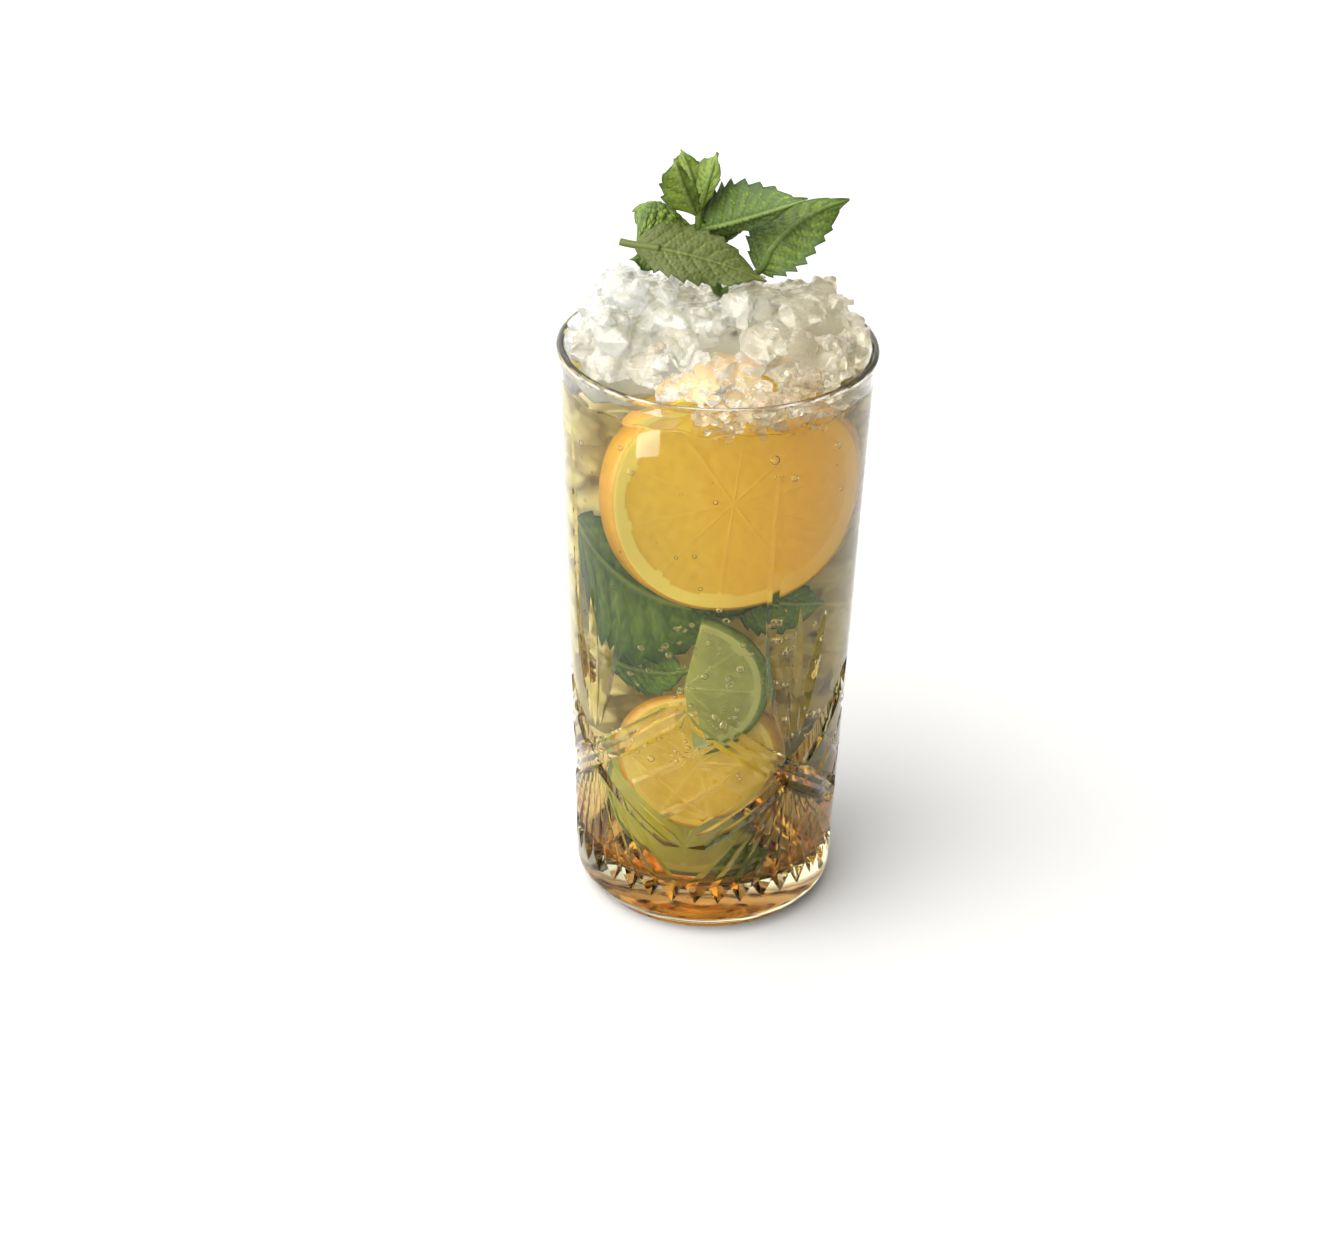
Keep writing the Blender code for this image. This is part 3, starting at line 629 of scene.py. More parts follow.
def groove(stations, deepest, widest, flutes=1):
    """A cutter along stations of (angle, z, depth) on the wall, with parallel V-shaped flutes."""
    points = []
    section = [(-1.0, None)]
    for line in range(1, 2 * flutes):
        section.append((-1 + line / flutes, 1.0 if line % 2 else FLUTE_RIDGE))
    section.append((1.0, None))
    for index, (angle, z, depth) in enumerate(stations):
        before, after = beside(stations, index)
        along = (on_wall(*after[:2]) - on_wall(*before[:2])).normalized()
        out = (on_wall(angle, z, 1.0) - on_wall(angle, z)).normalized()
        side = along.cross(out).normalized()
        place = on_wall(angle, z)
        half = widest / 2 * (depth + CUT_CLEARANCE) / deepest
        for across, share in section:
            lift = CUT_CLEARANCE if share is None else -depth * share
            points.append(place + out * lift - side * half * across)
    sides = len(section)
    faces = end_caps(len(points), sides)
    faces += [[a, d, c, b] for a, b, c, d in quads(0, len(stations) - 1, sides, sides)]
    cutter = add_mesh("cutter", points, faces, smooth=False)
    shape = bmesh.new()
    shape.from_mesh(cutter.data)
    bmesh.ops.recalc_face_normals(shape, faces=shape.faces)
    shape.to_mesh(cutter.data)
    shape.free()
    return cutter


def between(start, end, share):
    return start[0] + (end[0] - start[0]) * share, start[1] + (end[1] - start[1]) * share


def straight_groove(start, end, deepest, widest, steps, shape):
    shares = [step / steps for step in range(steps + 1)]
    return groove([(*between(start, end, t), deepest * shape(t)) for t in shares], deepest, widest)


def level(t):
    return 1.0


def pointed(t):
    return 1.15 * sin(pi * t) ** 0.7 - 0.15


def arm_cutters(cross):
    steps = 16
    middle = (cross, CROSS_Z)
    for side in (1, -1):
        low = (cross - side * HALF_QUARTER, DIAMOND_LOW_Z)
        high = (cross + side * HALF_QUARTER, DIAMOND_HIGH_Z)
        stations = []
        for step in range(steps + 1):
            t = 2 * step / steps
            place = between(low, middle, t) if t < 1 else between(middle, high, t - 1)
            stations.append((*place, ARM_DEPTH if 0 < step < steps else -ARM_DEPTH / 4))
        yield groove(stations, ARM_DEPTH, ARM_WIDTH, ARM_FLUTES)


def hatch_cutters(cross):
    left, right = (cross, CROSS_Z), (cross + 2 * HALF_QUARTER, CROSS_Z)
    low, high = (cross + HALF_QUARTER, DIAMOND_LOW_Z), (cross + HALF_QUARTER, DIAMOND_HIGH_Z)
    for line in range(1, HATCH_LINES + 1):
        share = line / (HATCH_LINES + 1)
        rising = (between(left, low, share), between(high, right, share), 0.10, HATCH_DEPTH)
        falling = (between(left, high, share), between(low, right, share), 0.14, HATCH_DEPTH * 0.9)
        for a, b, margin, depth in (rising, falling):
            start, end = between(a, b, margin), between(a, b, 1 - margin)
            yield straight_groove(start, end, depth, HATCH_WIDTH, 5, level)


def spike_cutters(cross):
    steps = 6
    for number in range(-SPIKES_EACH_SIDE, SPIKES_EACH_SIDE + 1):
        top_z = CROSS_Z - SPIKE_TOP_DROP - abs(number) * SPIKE_TOP_STEP * MM
        stations = []
        for step in range(steps + 1):
            t = step / steps
            z = top_z + (SPIKE_DEEPEST_Z - top_z) * t
            reach = (CROSS_Z - z) / (CROSS_Z - SPIKE_DEEPEST_Z)
            angle = cross + number * SPIKE_STEP * reach
            stations.append((angle, z, SPIKE_DEPTH * (0.15 + 0.85 * t)))
        stations.append((cross + number * SPIKE_STEP, SPIKE_TIP_Z, -SPIKE_DEPTH / 8))
        yield groove(stations, SPIKE_DEPTH, SPIKE_WIDTH)


def plume_cutters(cross):
    for number in range(-PLUMES_EACH_SIDE, PLUMES_EACH_SIDE + 1):
        foot_z = CROSS_Z + PLUME_FOOT_RISE + abs(number) * PLUME_FOOT_LIFT
        start = (cross + number * PLUME_FOOT_STEP, foot_z)
        end = (cross + number * PLUME_STEP, PLUME_MIDDLE_Z - PLUME_DROP * abs(number))
        yield straight_groove(start, end, PLUME_DEPTH, PLUME_WIDTH, 10, pointed)


def mitre_cutters(cross):
    angle = cross + MITRE_SIDE
    yield straight_groove((angle, MITRE_LOW_Z), (angle, MITRE_HIGH_Z), MITRE_DEPTH, MITRE_WIDTH, 8, pointed)


def cut(obj, cutters):
    group = bpy.data.collections.new(obj.name + "_tools")
    bpy.context.scene.collection.children.link(group)
    for cutter in cutters:
        bpy.context.scene.collection.objects.unlink(cutter)
        group.objects.link(cutter)
    step = obj.modifiers.new("cut", "BOOLEAN")
    step.operation = "DIFFERENCE"
    step.operand_type = "COLLECTION"
    step.collection = group
    step.use_self = True
    apply_modifiers(obj)
    for cutter in cutters:
        bpy.data.objects.remove(cutter, do_unlink=True)
    bpy.data.collections.remove(group)


def keep_largest(obj):
    """Drops the loose scraps that a cut leaves."""
    shape = bmesh.new()
    shape.from_mesh(obj.data)
    left = set(shape.verts)
    islands = []
    while left:
        edge = [left.pop()]
        island = set(edge)
        while edge:
            near = {vert for link in edge.pop().link_edges for vert in link.verts} - island
            island |= near
            edge += near
        left -= island
        islands.append(island)
    scraps = set(shape.verts) - max(islands, key=len)
    bmesh.ops.delete(shape, geom=list(scraps), context="VERTS")
    shape.to_mesh(obj.data)
    shape.free()


def round_wall_normals(mesh):
    """Corner normals that make the turned faces truly round and keep the cut faces flat."""
    normals = []
    for face in mesh.polygons:
        flat = face.normal
        for corner in face.loop_indices:
            place = mesh.vertices[mesh.loops[corner].vertex_index].co
            across = Vector((place.x, place.y, 0))
            normal = flat
            if across.length > 1e-4 and abs(flat.z) < 0.9:
                out = across.normalized()
                level_part = Vector((flat.x, flat.y, 0))
                towards = 1 if level_part.dot(out) > 0 else -1
                turned = (out * towards * level_part.length + Vector((0, 0, flat.z))).normalized()
                if turned.angle(flat) < radians(1.5):
                    normal = turned
            normals.append(normal)
    mesh.normals_split_custom_set(normals)


def make_glass():
    outline = [(RIM_RADIUS - RIM_THICKNESS, GLASS_HEIGHT - RIM_THICKNESS / 2)]
    rim = (RIM_RADIUS - RIM_THICKNESS / 2, GLASS_HEIGHT - RIM_THICKNESS / 2)
    outline += arc(rim, RIM_THICKNESS / 2, 165, 0, 11)
    outline += [(wall_radius(z * MM), z * MM) for z in RIM_RINGS]
    outline += [(wall_radius(z), z) for z in (SHOULDER_Z, HEEL_Z)]
    outline += arc((WALL_FOOT_RADIUS - HEEL_ROUND, HEEL_Z), HEEL_ROUND, -8, -80, 9)
    outline += [(FOOT_RING_RADIUS, 0.0), (BASE_RECESS_RADIUS, 0.0)]
    outline += [(BASE_RECESS_RADIUS - 2 * MM, BASE_RECESS_DEPTH), (0.0, BASE_RECESS_DEPTH)]
    inside = inner_outline(GLASS_HEIGHT - RIM_THICKNESS / 2)
    inside = [(0.0, inside[0][1])] + inside[1:-1]
    glass = lathe("glass_body", outline + inside + outline[:1], glass_finish(), GLASS_SIDES)
    cutters = []
    for quarter in range(QUARTERS):
        cross = CROSS_ANGLE + 2 * HALF_QUARTER * quarter
        for cutters_of in (arm_cutters, hatch_cutters, spike_cutters, plume_cutters, mitre_cutters):
            cutters += cutters_of(cross)
    cut(glass, cutters)
    keep_largest(glass)
    round_wall_normals(glass.data)
    place_piece(glass, "glass", "glass")


def make_drink():
    outline = inner_outline(LIQUID_LEVEL, INTO_WALL)
    wall, top = outline[-1]
    profile = [(0.0, top), (wall * 0.6, top), (wall - 2 * MM, top), (wall - 0.8 * MM, top)]
    profile += [(wall, top + EDGE_RISE)] + outline[:0:-1] + [(0.0, outline[0][1])]
    drink = lathe("liquid", profile, drink_finish(), DRINK_SIDES)
    for vert in drink.data.vertices:
        if vert.co.z > top - 0.1 * MM and hypot(vert.co.x, vert.co.y) > wall - MM:
            turn = atan2(vert.co.x, -vert.co.y)
            vert.co.z += EDGE_WAVE * (sin(turn * 9 + 1) * sin(turn * 5) + 0.5 * sin(turn * 23))
    place_piece(drink, "drink", "drink")


# Orange and lime

def citrus_round(radius, thickness, segments, first=0.0, last=360.0, rings=46, sides=240):
    """A round of fruit, or the part of it between two angles, flat on its middle plane."""
    whole = last - first >= 360
    half = thickness / 2
    columns = sides if whole else sides + 1
    points = []
    zones = []
    membranes = []
    for face_side in (1, -1):
        for ring in range(rings + 1):
            share = ring / rings
            for side in range(columns):
                turn = radians(first + (last - first) * side / sides)
                phase = (turn * segments / tau) % 1.0
                off_middle = abs(phase - 0.5) * 2
                edge = PITH_INNER - 0.035 * off_middle**3
                edge += 0.006 * sin(turn * 3 + 1) + 0.004 * sin(turn * 7)
                reach = radius * share
                width = reach * (1 - off_middle) * pi / segments
                line = max(1 - min(width / (0.35 * MM), 1.0), 1 - min(reach / (1.5 * MM), 1.0))
                flesh = share < edge
                relief = 0.0
                if flesh:
                    grain = Vector((cos(turn) * reach, sin(turn) * reach, face_side)) * 420
                    relief = 0.15 * MM * noise.noise(grain) - 0.08 * MM * (1 - line)
                if share > 0.96:
                    relief -= 1.1 * MM * ((share - 0.96) / 0.04) ** 2
                points.append((cos(turn) * reach, sin(turn) * reach, face_side * (half + relief)))
                zones.append(0.0 if flesh else (1.0 if share < PEEL_INNER else 2.0))
                membranes.append(line if flesh else 0.0)
    count = (rings + 1) * columns
    faces = [[a, d, c, b] for a, b, c, d in quads(0, rings, sides, columns)]
    faces += quads(count, rings, sides, columns)
    for side in range(sides):
        a, b = rings * columns + side, rings * columns + (side + 1) % columns
        faces.append([a, a + count, b + count, b])
    if not whole:
        for side in (0, sides):
            for ring in range(rings):
                a, b = ring * columns + side, (ring + 1) * columns + side
                faces.append([a, a + count, b + count, b] if side == 0 else [a, b, b + count, a + count])
    return points, faces, {"zone": zones, "membrane": membranes}


def moved(part, matrix):
    points, faces, values = part
    return [matrix @ Vector(point) for point in points], faces, values


def merged(parts):
    """The points and faces of several parts in one."""
    points = []
    faces = []
    for part in parts:
        faces += [[len(points) + corner for corner in face] for face in part[1]]
        points += list(part[0])
    return points, faces


def joined(name, parts, finish):
    """One object from several parts: their points, faces and named values at the points."""
    obj = add_mesh(name, *merged(parts), finish)
    for key in parts[0][2]:
        values = [value for part in parts for value in part[2][key]]
        attribute = obj.data.attributes.new(key, "FLOAT", "POINT")
        attribute.data.foreach_set("value", np.asarray(values, np.float32))
    return obj


def part_of(shape, points):
    """A part from a bmesh, which ends here, and the places of its points."""
    shape.verts.index_update()
    faces = [[vert.index for vert in face.verts] for face in shape.faces]
    shape.free()
    return points, faces, {}


def standing(centre, turn, lean):
    """Where a round stands up on its edge."""
    upright = Matrix.Rotation(radians(90 - lean), 4, "X")
    return Matrix.Translation(Vector(centre)) @ Matrix.Rotation(radians(turn), 4, "Z") @ upright


def make_slice():
    part = citrus_round(SLICE_RADIUS, SLICE_THICKNESS, SEGMENTS)
    place = Matrix.Rotation(radians(SLICE_ROLL), 4, "Z")
    part = moved(moved(part, place), standing(SLICE_CENTRE, SLICE_TURN, SLICE_LEAN))
    place_piece(joined("orange_round", [part], fruit_finish("orange")), "orange", "orange_slice")


def sunk_rounds(rows, segments):
    made = []
    for centre, radius, thickness, turn, lean, first, last in rows:
        part = citrus_round(radius * MM, thickness * MM, segments, first, last, 24, 90)
        part = moved(part, standing(in_mm(centre), turn, lean))
        made += [part, moved(part, TO_BACK)]
    return made


def sunk_leaves():
    made = []
    for number, form in enumerate(SUNK_LEAVES):
        part = leaf_mesh(form, 40 + number, 64, 30)
        made += [part, moved(part, TO_BACK)] if number else [part]
    return made


def bubble_balls():
    """Bubbles near the wall, the last of them in front of the upper lime."""
    draw = random.Random(BUBBLE_SEED)
    made = []
    for number in range(BUBBLES + LIME_BUBBLES):
        z = draw.uniform(*BUBBLE_HEIGHTS) * MM
        turn = draw.uniform(0, tau)
        if number >= BUBBLES:
            z = draw.uniform(*LIME_BUBBLE_HEIGHTS) * MM
            turn = radians(draw.uniform(*LIME_BUBBLE_TURNS))
        size = draw.uniform(*BUBBLE_SIZE) * draw.random() * MM + LEAST_BUBBLE
        reach = inner_radius(z) - size - draw.random() ** 2 * BUBBLE_REACH * MM
        place = Matrix.Translation((*around(reach, turn), z))
        ball = bmesh.new()
        bmesh.ops.create_icosphere(ball, subdivisions=2, radius=size, matrix=place)
        made.append(part_of(ball, [vert.co.copy() for vert in ball.verts]))
    return made


def make_sunk():
    green = leaf_finish("mint_sunk", rgb(44, 78, 28), rgb(82, 122, 48), rgb(124, 160, 74), rgb(140, 168, 90))
    for name, slot, parts, finish in (
        ("sunk_orange", "orange", sunk_rounds(SUNK_ORANGES, 9), fruit_finish("sunk_orange")),
        ("sunk_lime", "drink", sunk_rounds(SUNK_LIMES, 8), fruit_finish("lime")),
        ("sunk_mint", "mint", sunk_leaves(), green),
        ("bubbles", "drink", bubble_balls(), bubble_finish()),
    ):
        place_piece(joined(name, parts, finish), slot)


# Mint

def in_mm(place):
    return np.array(place, float) * MM


def unit(vectors):
    return vectors / np.maximum(np.linalg.norm(vectors, axis=-1, keepdims=True), 1e-12)


def smooth_step(low, high, value):
    t = np.clip((value - low) / (high - low), 0, 1)
    return t * t * (3 - 2 * t)


def curve_point(form, t):
    """Where a leaf's midrib lies at a share of its length, or at an array of them."""
    base, middle, tip = (in_mm(place) for place in form[:3])
    bend = middle * 2 - (base + tip) / 2
    return base * (1 - t) ** 2 + bend * 2 * t * (1 - t) + tip * t**2


def leaf_mesh(form, seed, rows, columns, relief=LEAF_RELIEF, back_up=False):
    """A quilted leaf with a toothed edge, with its veins and its relief as values."""
    base, middle, tip, one_edge, other_edge = (in_mm(place) for place in form[:5])
    teeth = form[5]
    t = np.linspace(0.004, 0.996, rows + 1)[:, None]
    s = np.linspace(-1, 1, columns + 1)[None, :]
    far = np.abs(s)
    span = np.where(s[..., None] < 0, one_edge - middle, other_edge - middle)
    outline = np.sin(pi * t**0.8) ** 0.85 * (1 - LEAF_TIP_NARROWS * smooth_step(*LEAF_TIP, t))
    outline = np.maximum(outline, 0.02)
    tooth = (t * teeth) % 1.0
    ragged = 1 + TOOTH_DEPTH * (tooth**1.3 - 0.4) * far**5
    reach = far * outline * ragged
    surface = curve_point(form, t[..., None]) + span * reach[..., None]
    across = unit(np.gradient(surface, axis=1))
    along = unit(np.gradient(surface, axis=0))
    up = -1 if back_up else 1
    out = up * unit(np.cross(along, across))
    length = np.linalg.norm(tip - base)
    x = s * np.linalg.norm(span, axis=-1)[0][None, :] * outline / MM
    y = t * length / MM
    sweep = (1.9 if teeth >= BIG_LEAF_TEETH else 0.9) / teeth
    phase = ((t - sweep * far**1.25) * teeth) % 1.0
    off_vein = np.minimum(phase, 1 - phase) / teeth * length / MM
    side_vein = (1 - smooth_step(0.12, 0.5, off_vein)) * smooth_step(0.0, 0.1, far)
    side_vein = side_vein * (1 - 0.6 * far**3)
    rib_vein = 1 - smooth_step(0.25, 0.75, np.abs(x) / (1.15 - 0.8 * t))
    net = np.zeros((rows + 1, columns + 1))
    for row, column in np.ndindex(net.shape):
        near = noise.voronoi(Vector((x[row, column], y[row, 0], seed * 7.7)) / LEAF_CELL)[0]
        net[row, column] = near[1] - near[0]
    cells = smooth_step(0.0, 0.45, net)
    folds = np.sin(pi * phase) ** 0.7 * smooth_step(0.0, 0.25, far)
    height = (LEAF_FOLDS * folds + (1 - LEAF_FOLDS) * cells) * (1 - far**6)
    vein = np.maximum(rib_vein, side_vein * (0.9 if back_up else 0.35))
    if back_up:
        vein = np.maximum(vein, 0.45 * (1 - smooth_step(0.02, 0.2, net)))
    vein = np.clip(vein, 0, 1)
    lift = height - 0.8 * rib_vein
    ripple = np.sin(4.2 * pi * t + 2 * s + seed) * far**1.5
    centre = surface + out * (relief * lift * outline + LEAF_WAVE * ripple)[..., None]
    normal = up * unit(np.cross(unit(np.gradient(centre, axis=0)), unit(np.gradient(centre, axis=1))))
    half = LEAF_HALF * (1 - 0.5 * far**4)[..., None] * np.minimum(outline * 3, 1)[..., None]
    points = np.concatenate([centre + normal * half, centre - normal * half]).reshape(-1, 3)
    width = columns + 1
    count = (rows + 1) * width
    faces = [[a, d, c, b] for a, b, c, d in quads(0, rows, columns, width)]
    faces += quads(count, rows, columns, width)
    grid = np.arange(count).reshape(rows + 1, width)
    rim = [*grid[:, 0], *grid[-1, 1:], *grid[-2::-1, -1], *grid[0, -2:0:-1]]
    faces += [[p, p + count, q + count, q] for p, q in zip(rim, rim[1:] + rim[:1])]
    # The relief value also sets the painted shade in the valleys and the painted light on the bulges
    values = {"vein": np.tile(vein.ravel(), 2), "relief": np.tile(height.ravel(), 2)}
    return points, [face[::up] for face in faces], values


def tube_mesh(places, radii):
    """A stalk along a smooth curve through places, in metres."""
    sides = 12
    rings = 16
    places = [Vector(p) for p in places]
    path = []
    widths = []
    spans = len(places) - 1
    for step in range(rings + 1):
        u = step / rings * spans
        index = min(int(u), spans - 1)
        f = u - index
        p1, p2 = places[index], places[index + 1]
        p0 = places[max(index - 1, 0)]
        p3 = places[min(index + 2, spans)]
        path.append(
            0.5 * ((2 * p1) + (p2 - p0) * f + (2 * p0 - 5 * p1 + 4 * p2 - p3) * f * f
                   + (3 * p1 - p0 - 3 * p2 + p3) * f**3)
        )
        widths.append(radii[index] + (radii[index + 1] - radii[index]) * f)
    points = []
    for index, place in enumerate(path):
        before, after = beside(path, index)
        along = (after - before).normalized()
        across = along.cross(Vector((0, 1, 0))).normalized()
        up = across.cross(along)
        for side in range(sides):
            turn = tau * side / sides
            points.append(place + (across * cos(turn) + up * sin(turn)) * widths[index])
    faces = end_caps(len(points), sides)
    faces += [[b, a, d, c] for a, b, c, d in quads(0, rings, sides, sides)]
    return points, faces, {"vein": [0.5] * len(points), "relief": [0.5] * len(points)}


def make_sprig():
    upper = leaf_finish("mint_upper", rgb(32, 52, 12), rgb(57, 77, 20), rgb(94, 112, 34), rgb(84, 102, 42))
    under = leaf_finish("mint_under", rgb(42, 52, 13), rgb(54, 65, 17), rgb(64, 73, 23), rgb(88, 95, 40))
    stem = [in_mm(place) for place in STEM_PLACES]
    parts = [tube_mesh(stem, [STEM_RADIUS, STEM_RADIUS, STEM_RADIUS, STEM_RADIUS * 0.8, STEM_RADIUS * 0.6])]
    for number, (name, form) in enumerate(LEAVES.items()):
        size = (120, 50) if form[5] >= BIG_LEAF_TEETH else (72, 34, SMALL_RELIEF)
        leaf = leaf_mesh(form, number, *size)
        # Painted light and shade: the top leaves are made lighter as a whole, the arched one darker
        leaf[2]["relief"] += LEAF_PAINTED_LIGHT.get(name, 0.0)
        parts.append(leaf)
        if name in STALK_STARTS:
            path = [in_mm(STALK_STARTS[name]), in_mm(form[0]), curve_point(form, 0.2)]
            parts.append(tube_mesh(path, [STALK_RADIUS] * 3))
    place_piece(joined("mint_sprig_leaves", parts, upper), "mint", "mint_sprig")
    stalk = [in_mm(LOOSE_STALK_END), in_mm(LOOSE_LEAF[0]), curve_point(LOOSE_LEAF, 0.2)]
    leaf = leaf_mesh(LOOSE_LEAF, 20, 120, 50, LOOSE_RELIEF, back_up=True)
    parts = [leaf, tube_mesh(stalk, [STALK_RADIUS] * 3)]
    place_piece(joined("mint_loose_leaf", parts, under), "mint", "mint_leaf")


# The ice

def mound_top(x, y):
    side = min(hypot(x, y) / ICE_RADIUS, 1.0) ** ICE_SHOULDER
    height = ICE_HEIGHT - ICE_FALL * max(ICE_FRONT - y, 0.0) - ICE_BACK_FALL * max(y - ICE_BACK, 0.0)
    height += ICE_SIDES_UP * min(max(abs(x) / ICE_SIDES_FROM - 0.8, 0.0), 1.0)
    uneven = ICE_WAVE * noise.noise(Vector((x, y, 0)) / ICE_WAVE_LENGTH)
    return GLASS_HEIGHT + (height + uneven) * (1 - side) - ICE_EDGE_DROP * side


def in_slice_frame(x, y):
    """How far a place lies in front of the slice's middle plane."""
    turn = radians(SLICE_TURN)
    return (x - SLICE_CENTRE.x) * sin(turn) - (y - SLICE_CENTRE.y) * cos(turn)


def ice_core(radius, depth):
    """The heap behind the slice without its lumps."""
    rings = 16
    sides = 72
    turned = radians(SLICE_TURN)
    points = []
    for layer in (0, 1):
        for ring in range(rings + 1):
            for side in range(sides):
                turn = tau * side / sides
                x, y = around(radius * ring / rings, turn)
                ahead = in_slice_frame(x, y) + SLICE_THICKNESS / 2 + 1.0 * MM
                if ahead > 0:
                    x -= ahead * sin(turned)
                    y += ahead * cos(turned)
                points.append((x, y, mound_top(x, y) - depth if layer else ICE_BOTTOM))
    count = (rings + 1) * sides
    faces = [[b, c, d, a] for a, b, c, d in quads(0, rings, sides, sides)]
    faces += [[d, c, b, a] for a, b, c, d in quads(count, rings, sides, sides)]
    for side in range(sides):
        a, b = rings * sides + side, rings * sides + (side + 1) % sides
        faces.append([b, b + count, a + count, a])
    return points, faces, {}


def ice_lump(centre, size, draw):
    """One chip of ice: the flat-sided hull of a few points, with a slightly uneven surface."""
    chip = bmesh.new()
    stretch = Vector((draw.uniform(0.8, 1.05), draw.uniform(0.65, 1.0), draw.uniform(0.4, 0.8)))
    corners = 12 if size > SMALL_LUMP else 8
    for number in range(corners):
        high = 1 - 2 * (number + 0.5) / corners
        turn = number * radians(GOLDEN_ANGLE) + draw.uniform(-0.6, 0.6)
        flat = sqrt(1 - high * high)
        corner = Vector((flat * cos(turn), flat * sin(turn), high)) * draw.uniform(0.75, 1.1)
        chip.verts.new((corner.x * stretch.x, corner.y * stretch.y, corner.z * stretch.z))
    bmesh.ops.convex_hull(chip, input=chip.verts, use_existing_faces=False)
    loose = [vert for vert in chip.verts if not vert.link_faces]
    bmesh.ops.delete(chip, geom=loose, context="VERTS")
    cuts = 4 if size > LARGE_LUMP else 2 if size > SMALL_LUMP else 0
    if cuts:
        bmesh.ops.subdivide_edges(chip, edges=chip.edges, cuts=cuts, use_grid_fill=True)
    turn = Matrix.Rotation(draw.uniform(0, tau), 3, "Z")
    turn = turn @ Matrix.Rotation(draw.uniform(-0.7, 0.7), 3, "X")
    shift = Vector((draw.random(), draw.random(), draw.random())) * 50
    points = []
    for vert in chip.verts:
        uneven = 0.07 * noise.noise(vert.co * 2.5 + shift)
        place = vert.co * (1 + uneven + 0.03 * noise.noise(vert.co * 7 + shift))
        points.append(centre + turn @ place * size)
    return part_of(chip, points)


def placed_lumps(rows, seed):
    made = []
    for number, (place, size) in enumerate(rows):
        made.append(ice_lump(in_mm(place), size * MM, random.Random(ICE_SEED * seed + number)))
    return made


def heaped_lumps(core):
    """Lumps spread evenly over the heap, each size settled on what lies below it."""
    front = placed_lumps(FRONT_LUMPS, 77)
    heap = [core] + placed_lumps(TOP_LUMPS, 79)
    for layer, (many, smallest, largest, low, high) in enumerate(LUMPS):
        below = BVHTree.FromPolygons(*merged(heap + front))
        heaped = BVHTree.FromPolygons(*merged(heap))
        made = []
        for number in range(many):
            draw = random.Random(ICE_SEED * 1000 + layer * 10000 + number)
            share = (number + 0.5) / many
            turn = number * radians(GOLDEN_ANGLE) + draw.uniform(-0.2, 0.2)
            x, y = around(LUMP_REACH * sqrt(share), turn)
            size = (smallest + (largest - smallest) * draw.random()) * MM
            if layer == 0:
                size *= 1 - 0.25 * share
            down = (Vector((x, y, DROP_Z)), Vector((0, 0, -1)))
            hit = below.ray_cast(*down)[0]
            if not hit:
                continue
            lump = ice_lump(Vector((x, y, hit.z + size * draw.uniform(low, high))), size, draw)
            heap_hit = heaped.ray_cast(*down)[0]
            if heap_hit and heap_hit.z > hit.z - 0.1 * MM:
                made.append(lump)
            else:
                front.append(lump)
        heap += made
    return heap, front


def swimming_grains():
    """Small clear bits that swim between the slice and the wall."""
    draw = random.Random(ICE_SEED + 5)
    made = []
    while len(made) < GRAINS:
        size = draw.uniform(*GRAIN_SIZE) * MM
        turn = radians(draw.uniform(*GRAIN_TURNS))
        z = LIQUID_LEVEL + draw.uniform(*GRAIN_RISE) * MM
        radius = inner_radius(min(z, GLASS_HEIGHT)) - size - draw.random() ** 2 * GRAIN_REACH * MM
        x, y = around(radius, turn)
        if in_slice_frame(x, y) > SLICE_THICKNESS / 2 + size:
            made.append(ice_lump(Vector((x, y, z)), size, draw))
    return made


def cloud_core():
    """What fills the sunk ice behind the slice, a little within its outer lumps."""
    rows = 12
    sides = 64
    points = []
    for row in range(rows + 1):
        for side in range(sides):
            turn = tau * side / sides
            uneven = CLOUD_WAVE * noise.noise(Vector((sin(turn), cos(turn), 0.3)) * 1.7)
            low = SUNK_ICE_LOW + CLOUD_RISE + uneven
            z = low + (LIQUID_LEVEL - CLOUD_BELOW_LEVEL - low) * row / rows
            x, y = around(inner_radius(z) - CLOUD_IN, turn)
            points.append((x, max(y, CLOUD_FRONT + CLOUD_SLANT * x), z))
    faces = end_caps(len(points), sides)
    faces += [[b, a, d, c] for a, b, c, d in quads(0, rows, sides, sides)]
    return points, faces, {}


def remeshed(obj, voxel):
    step = obj.modifiers.new("remesh", "REMESH")
    step.mode = "VOXEL"
    step.voxel_size = voxel
    apply_modifiers(obj)
    obj.data.shade_smooth()


def kept_inside(points):
    """Points held inside the glass's inner wall."""
    limit = inner_radius(np.minimum(points[:, 2], GLASS_HEIGHT - 2 * MM)) - ICE_GAP
    reach = np.hypot(points[:, 0], points[:, 1])
    scale = np.minimum(limit / np.maximum(reach, 1e-9), 1.0)
    points[:, :2] *= scale[:, None]
    return points


def sunk_lumps():
    """The ice that lies in the drink behind the slice, most of it near the wall."""
    draw = random.Random(ICE_SEED + 1)
    made = []
    while len(made) < SUNK_ICE:
        size = draw.uniform(*SUNK_ICE_SIZE) * MM
        z = draw.uniform(SUNK_ICE_LOW, LIQUID_LEVEL - size * 0.7)
        turn = draw.uniform(0, tau)
        radius = (inner_radius(z) - size * 1.05) * (1 - 0.5 * draw.random() ** 2)
        x, y = around(radius, turn)
        front = SUNK_ICE_FRONT - SUNK_ICE_SLANT * max(-x - SUNK_ICE_LEFT, 0.0)
        if in_slice_frame(x, y) < -SLICE_THICKNESS / 2 - size * 0.8 and y > front:
            made.append(ice_lump(Vector((x, y, z)), size, draw))
    return made


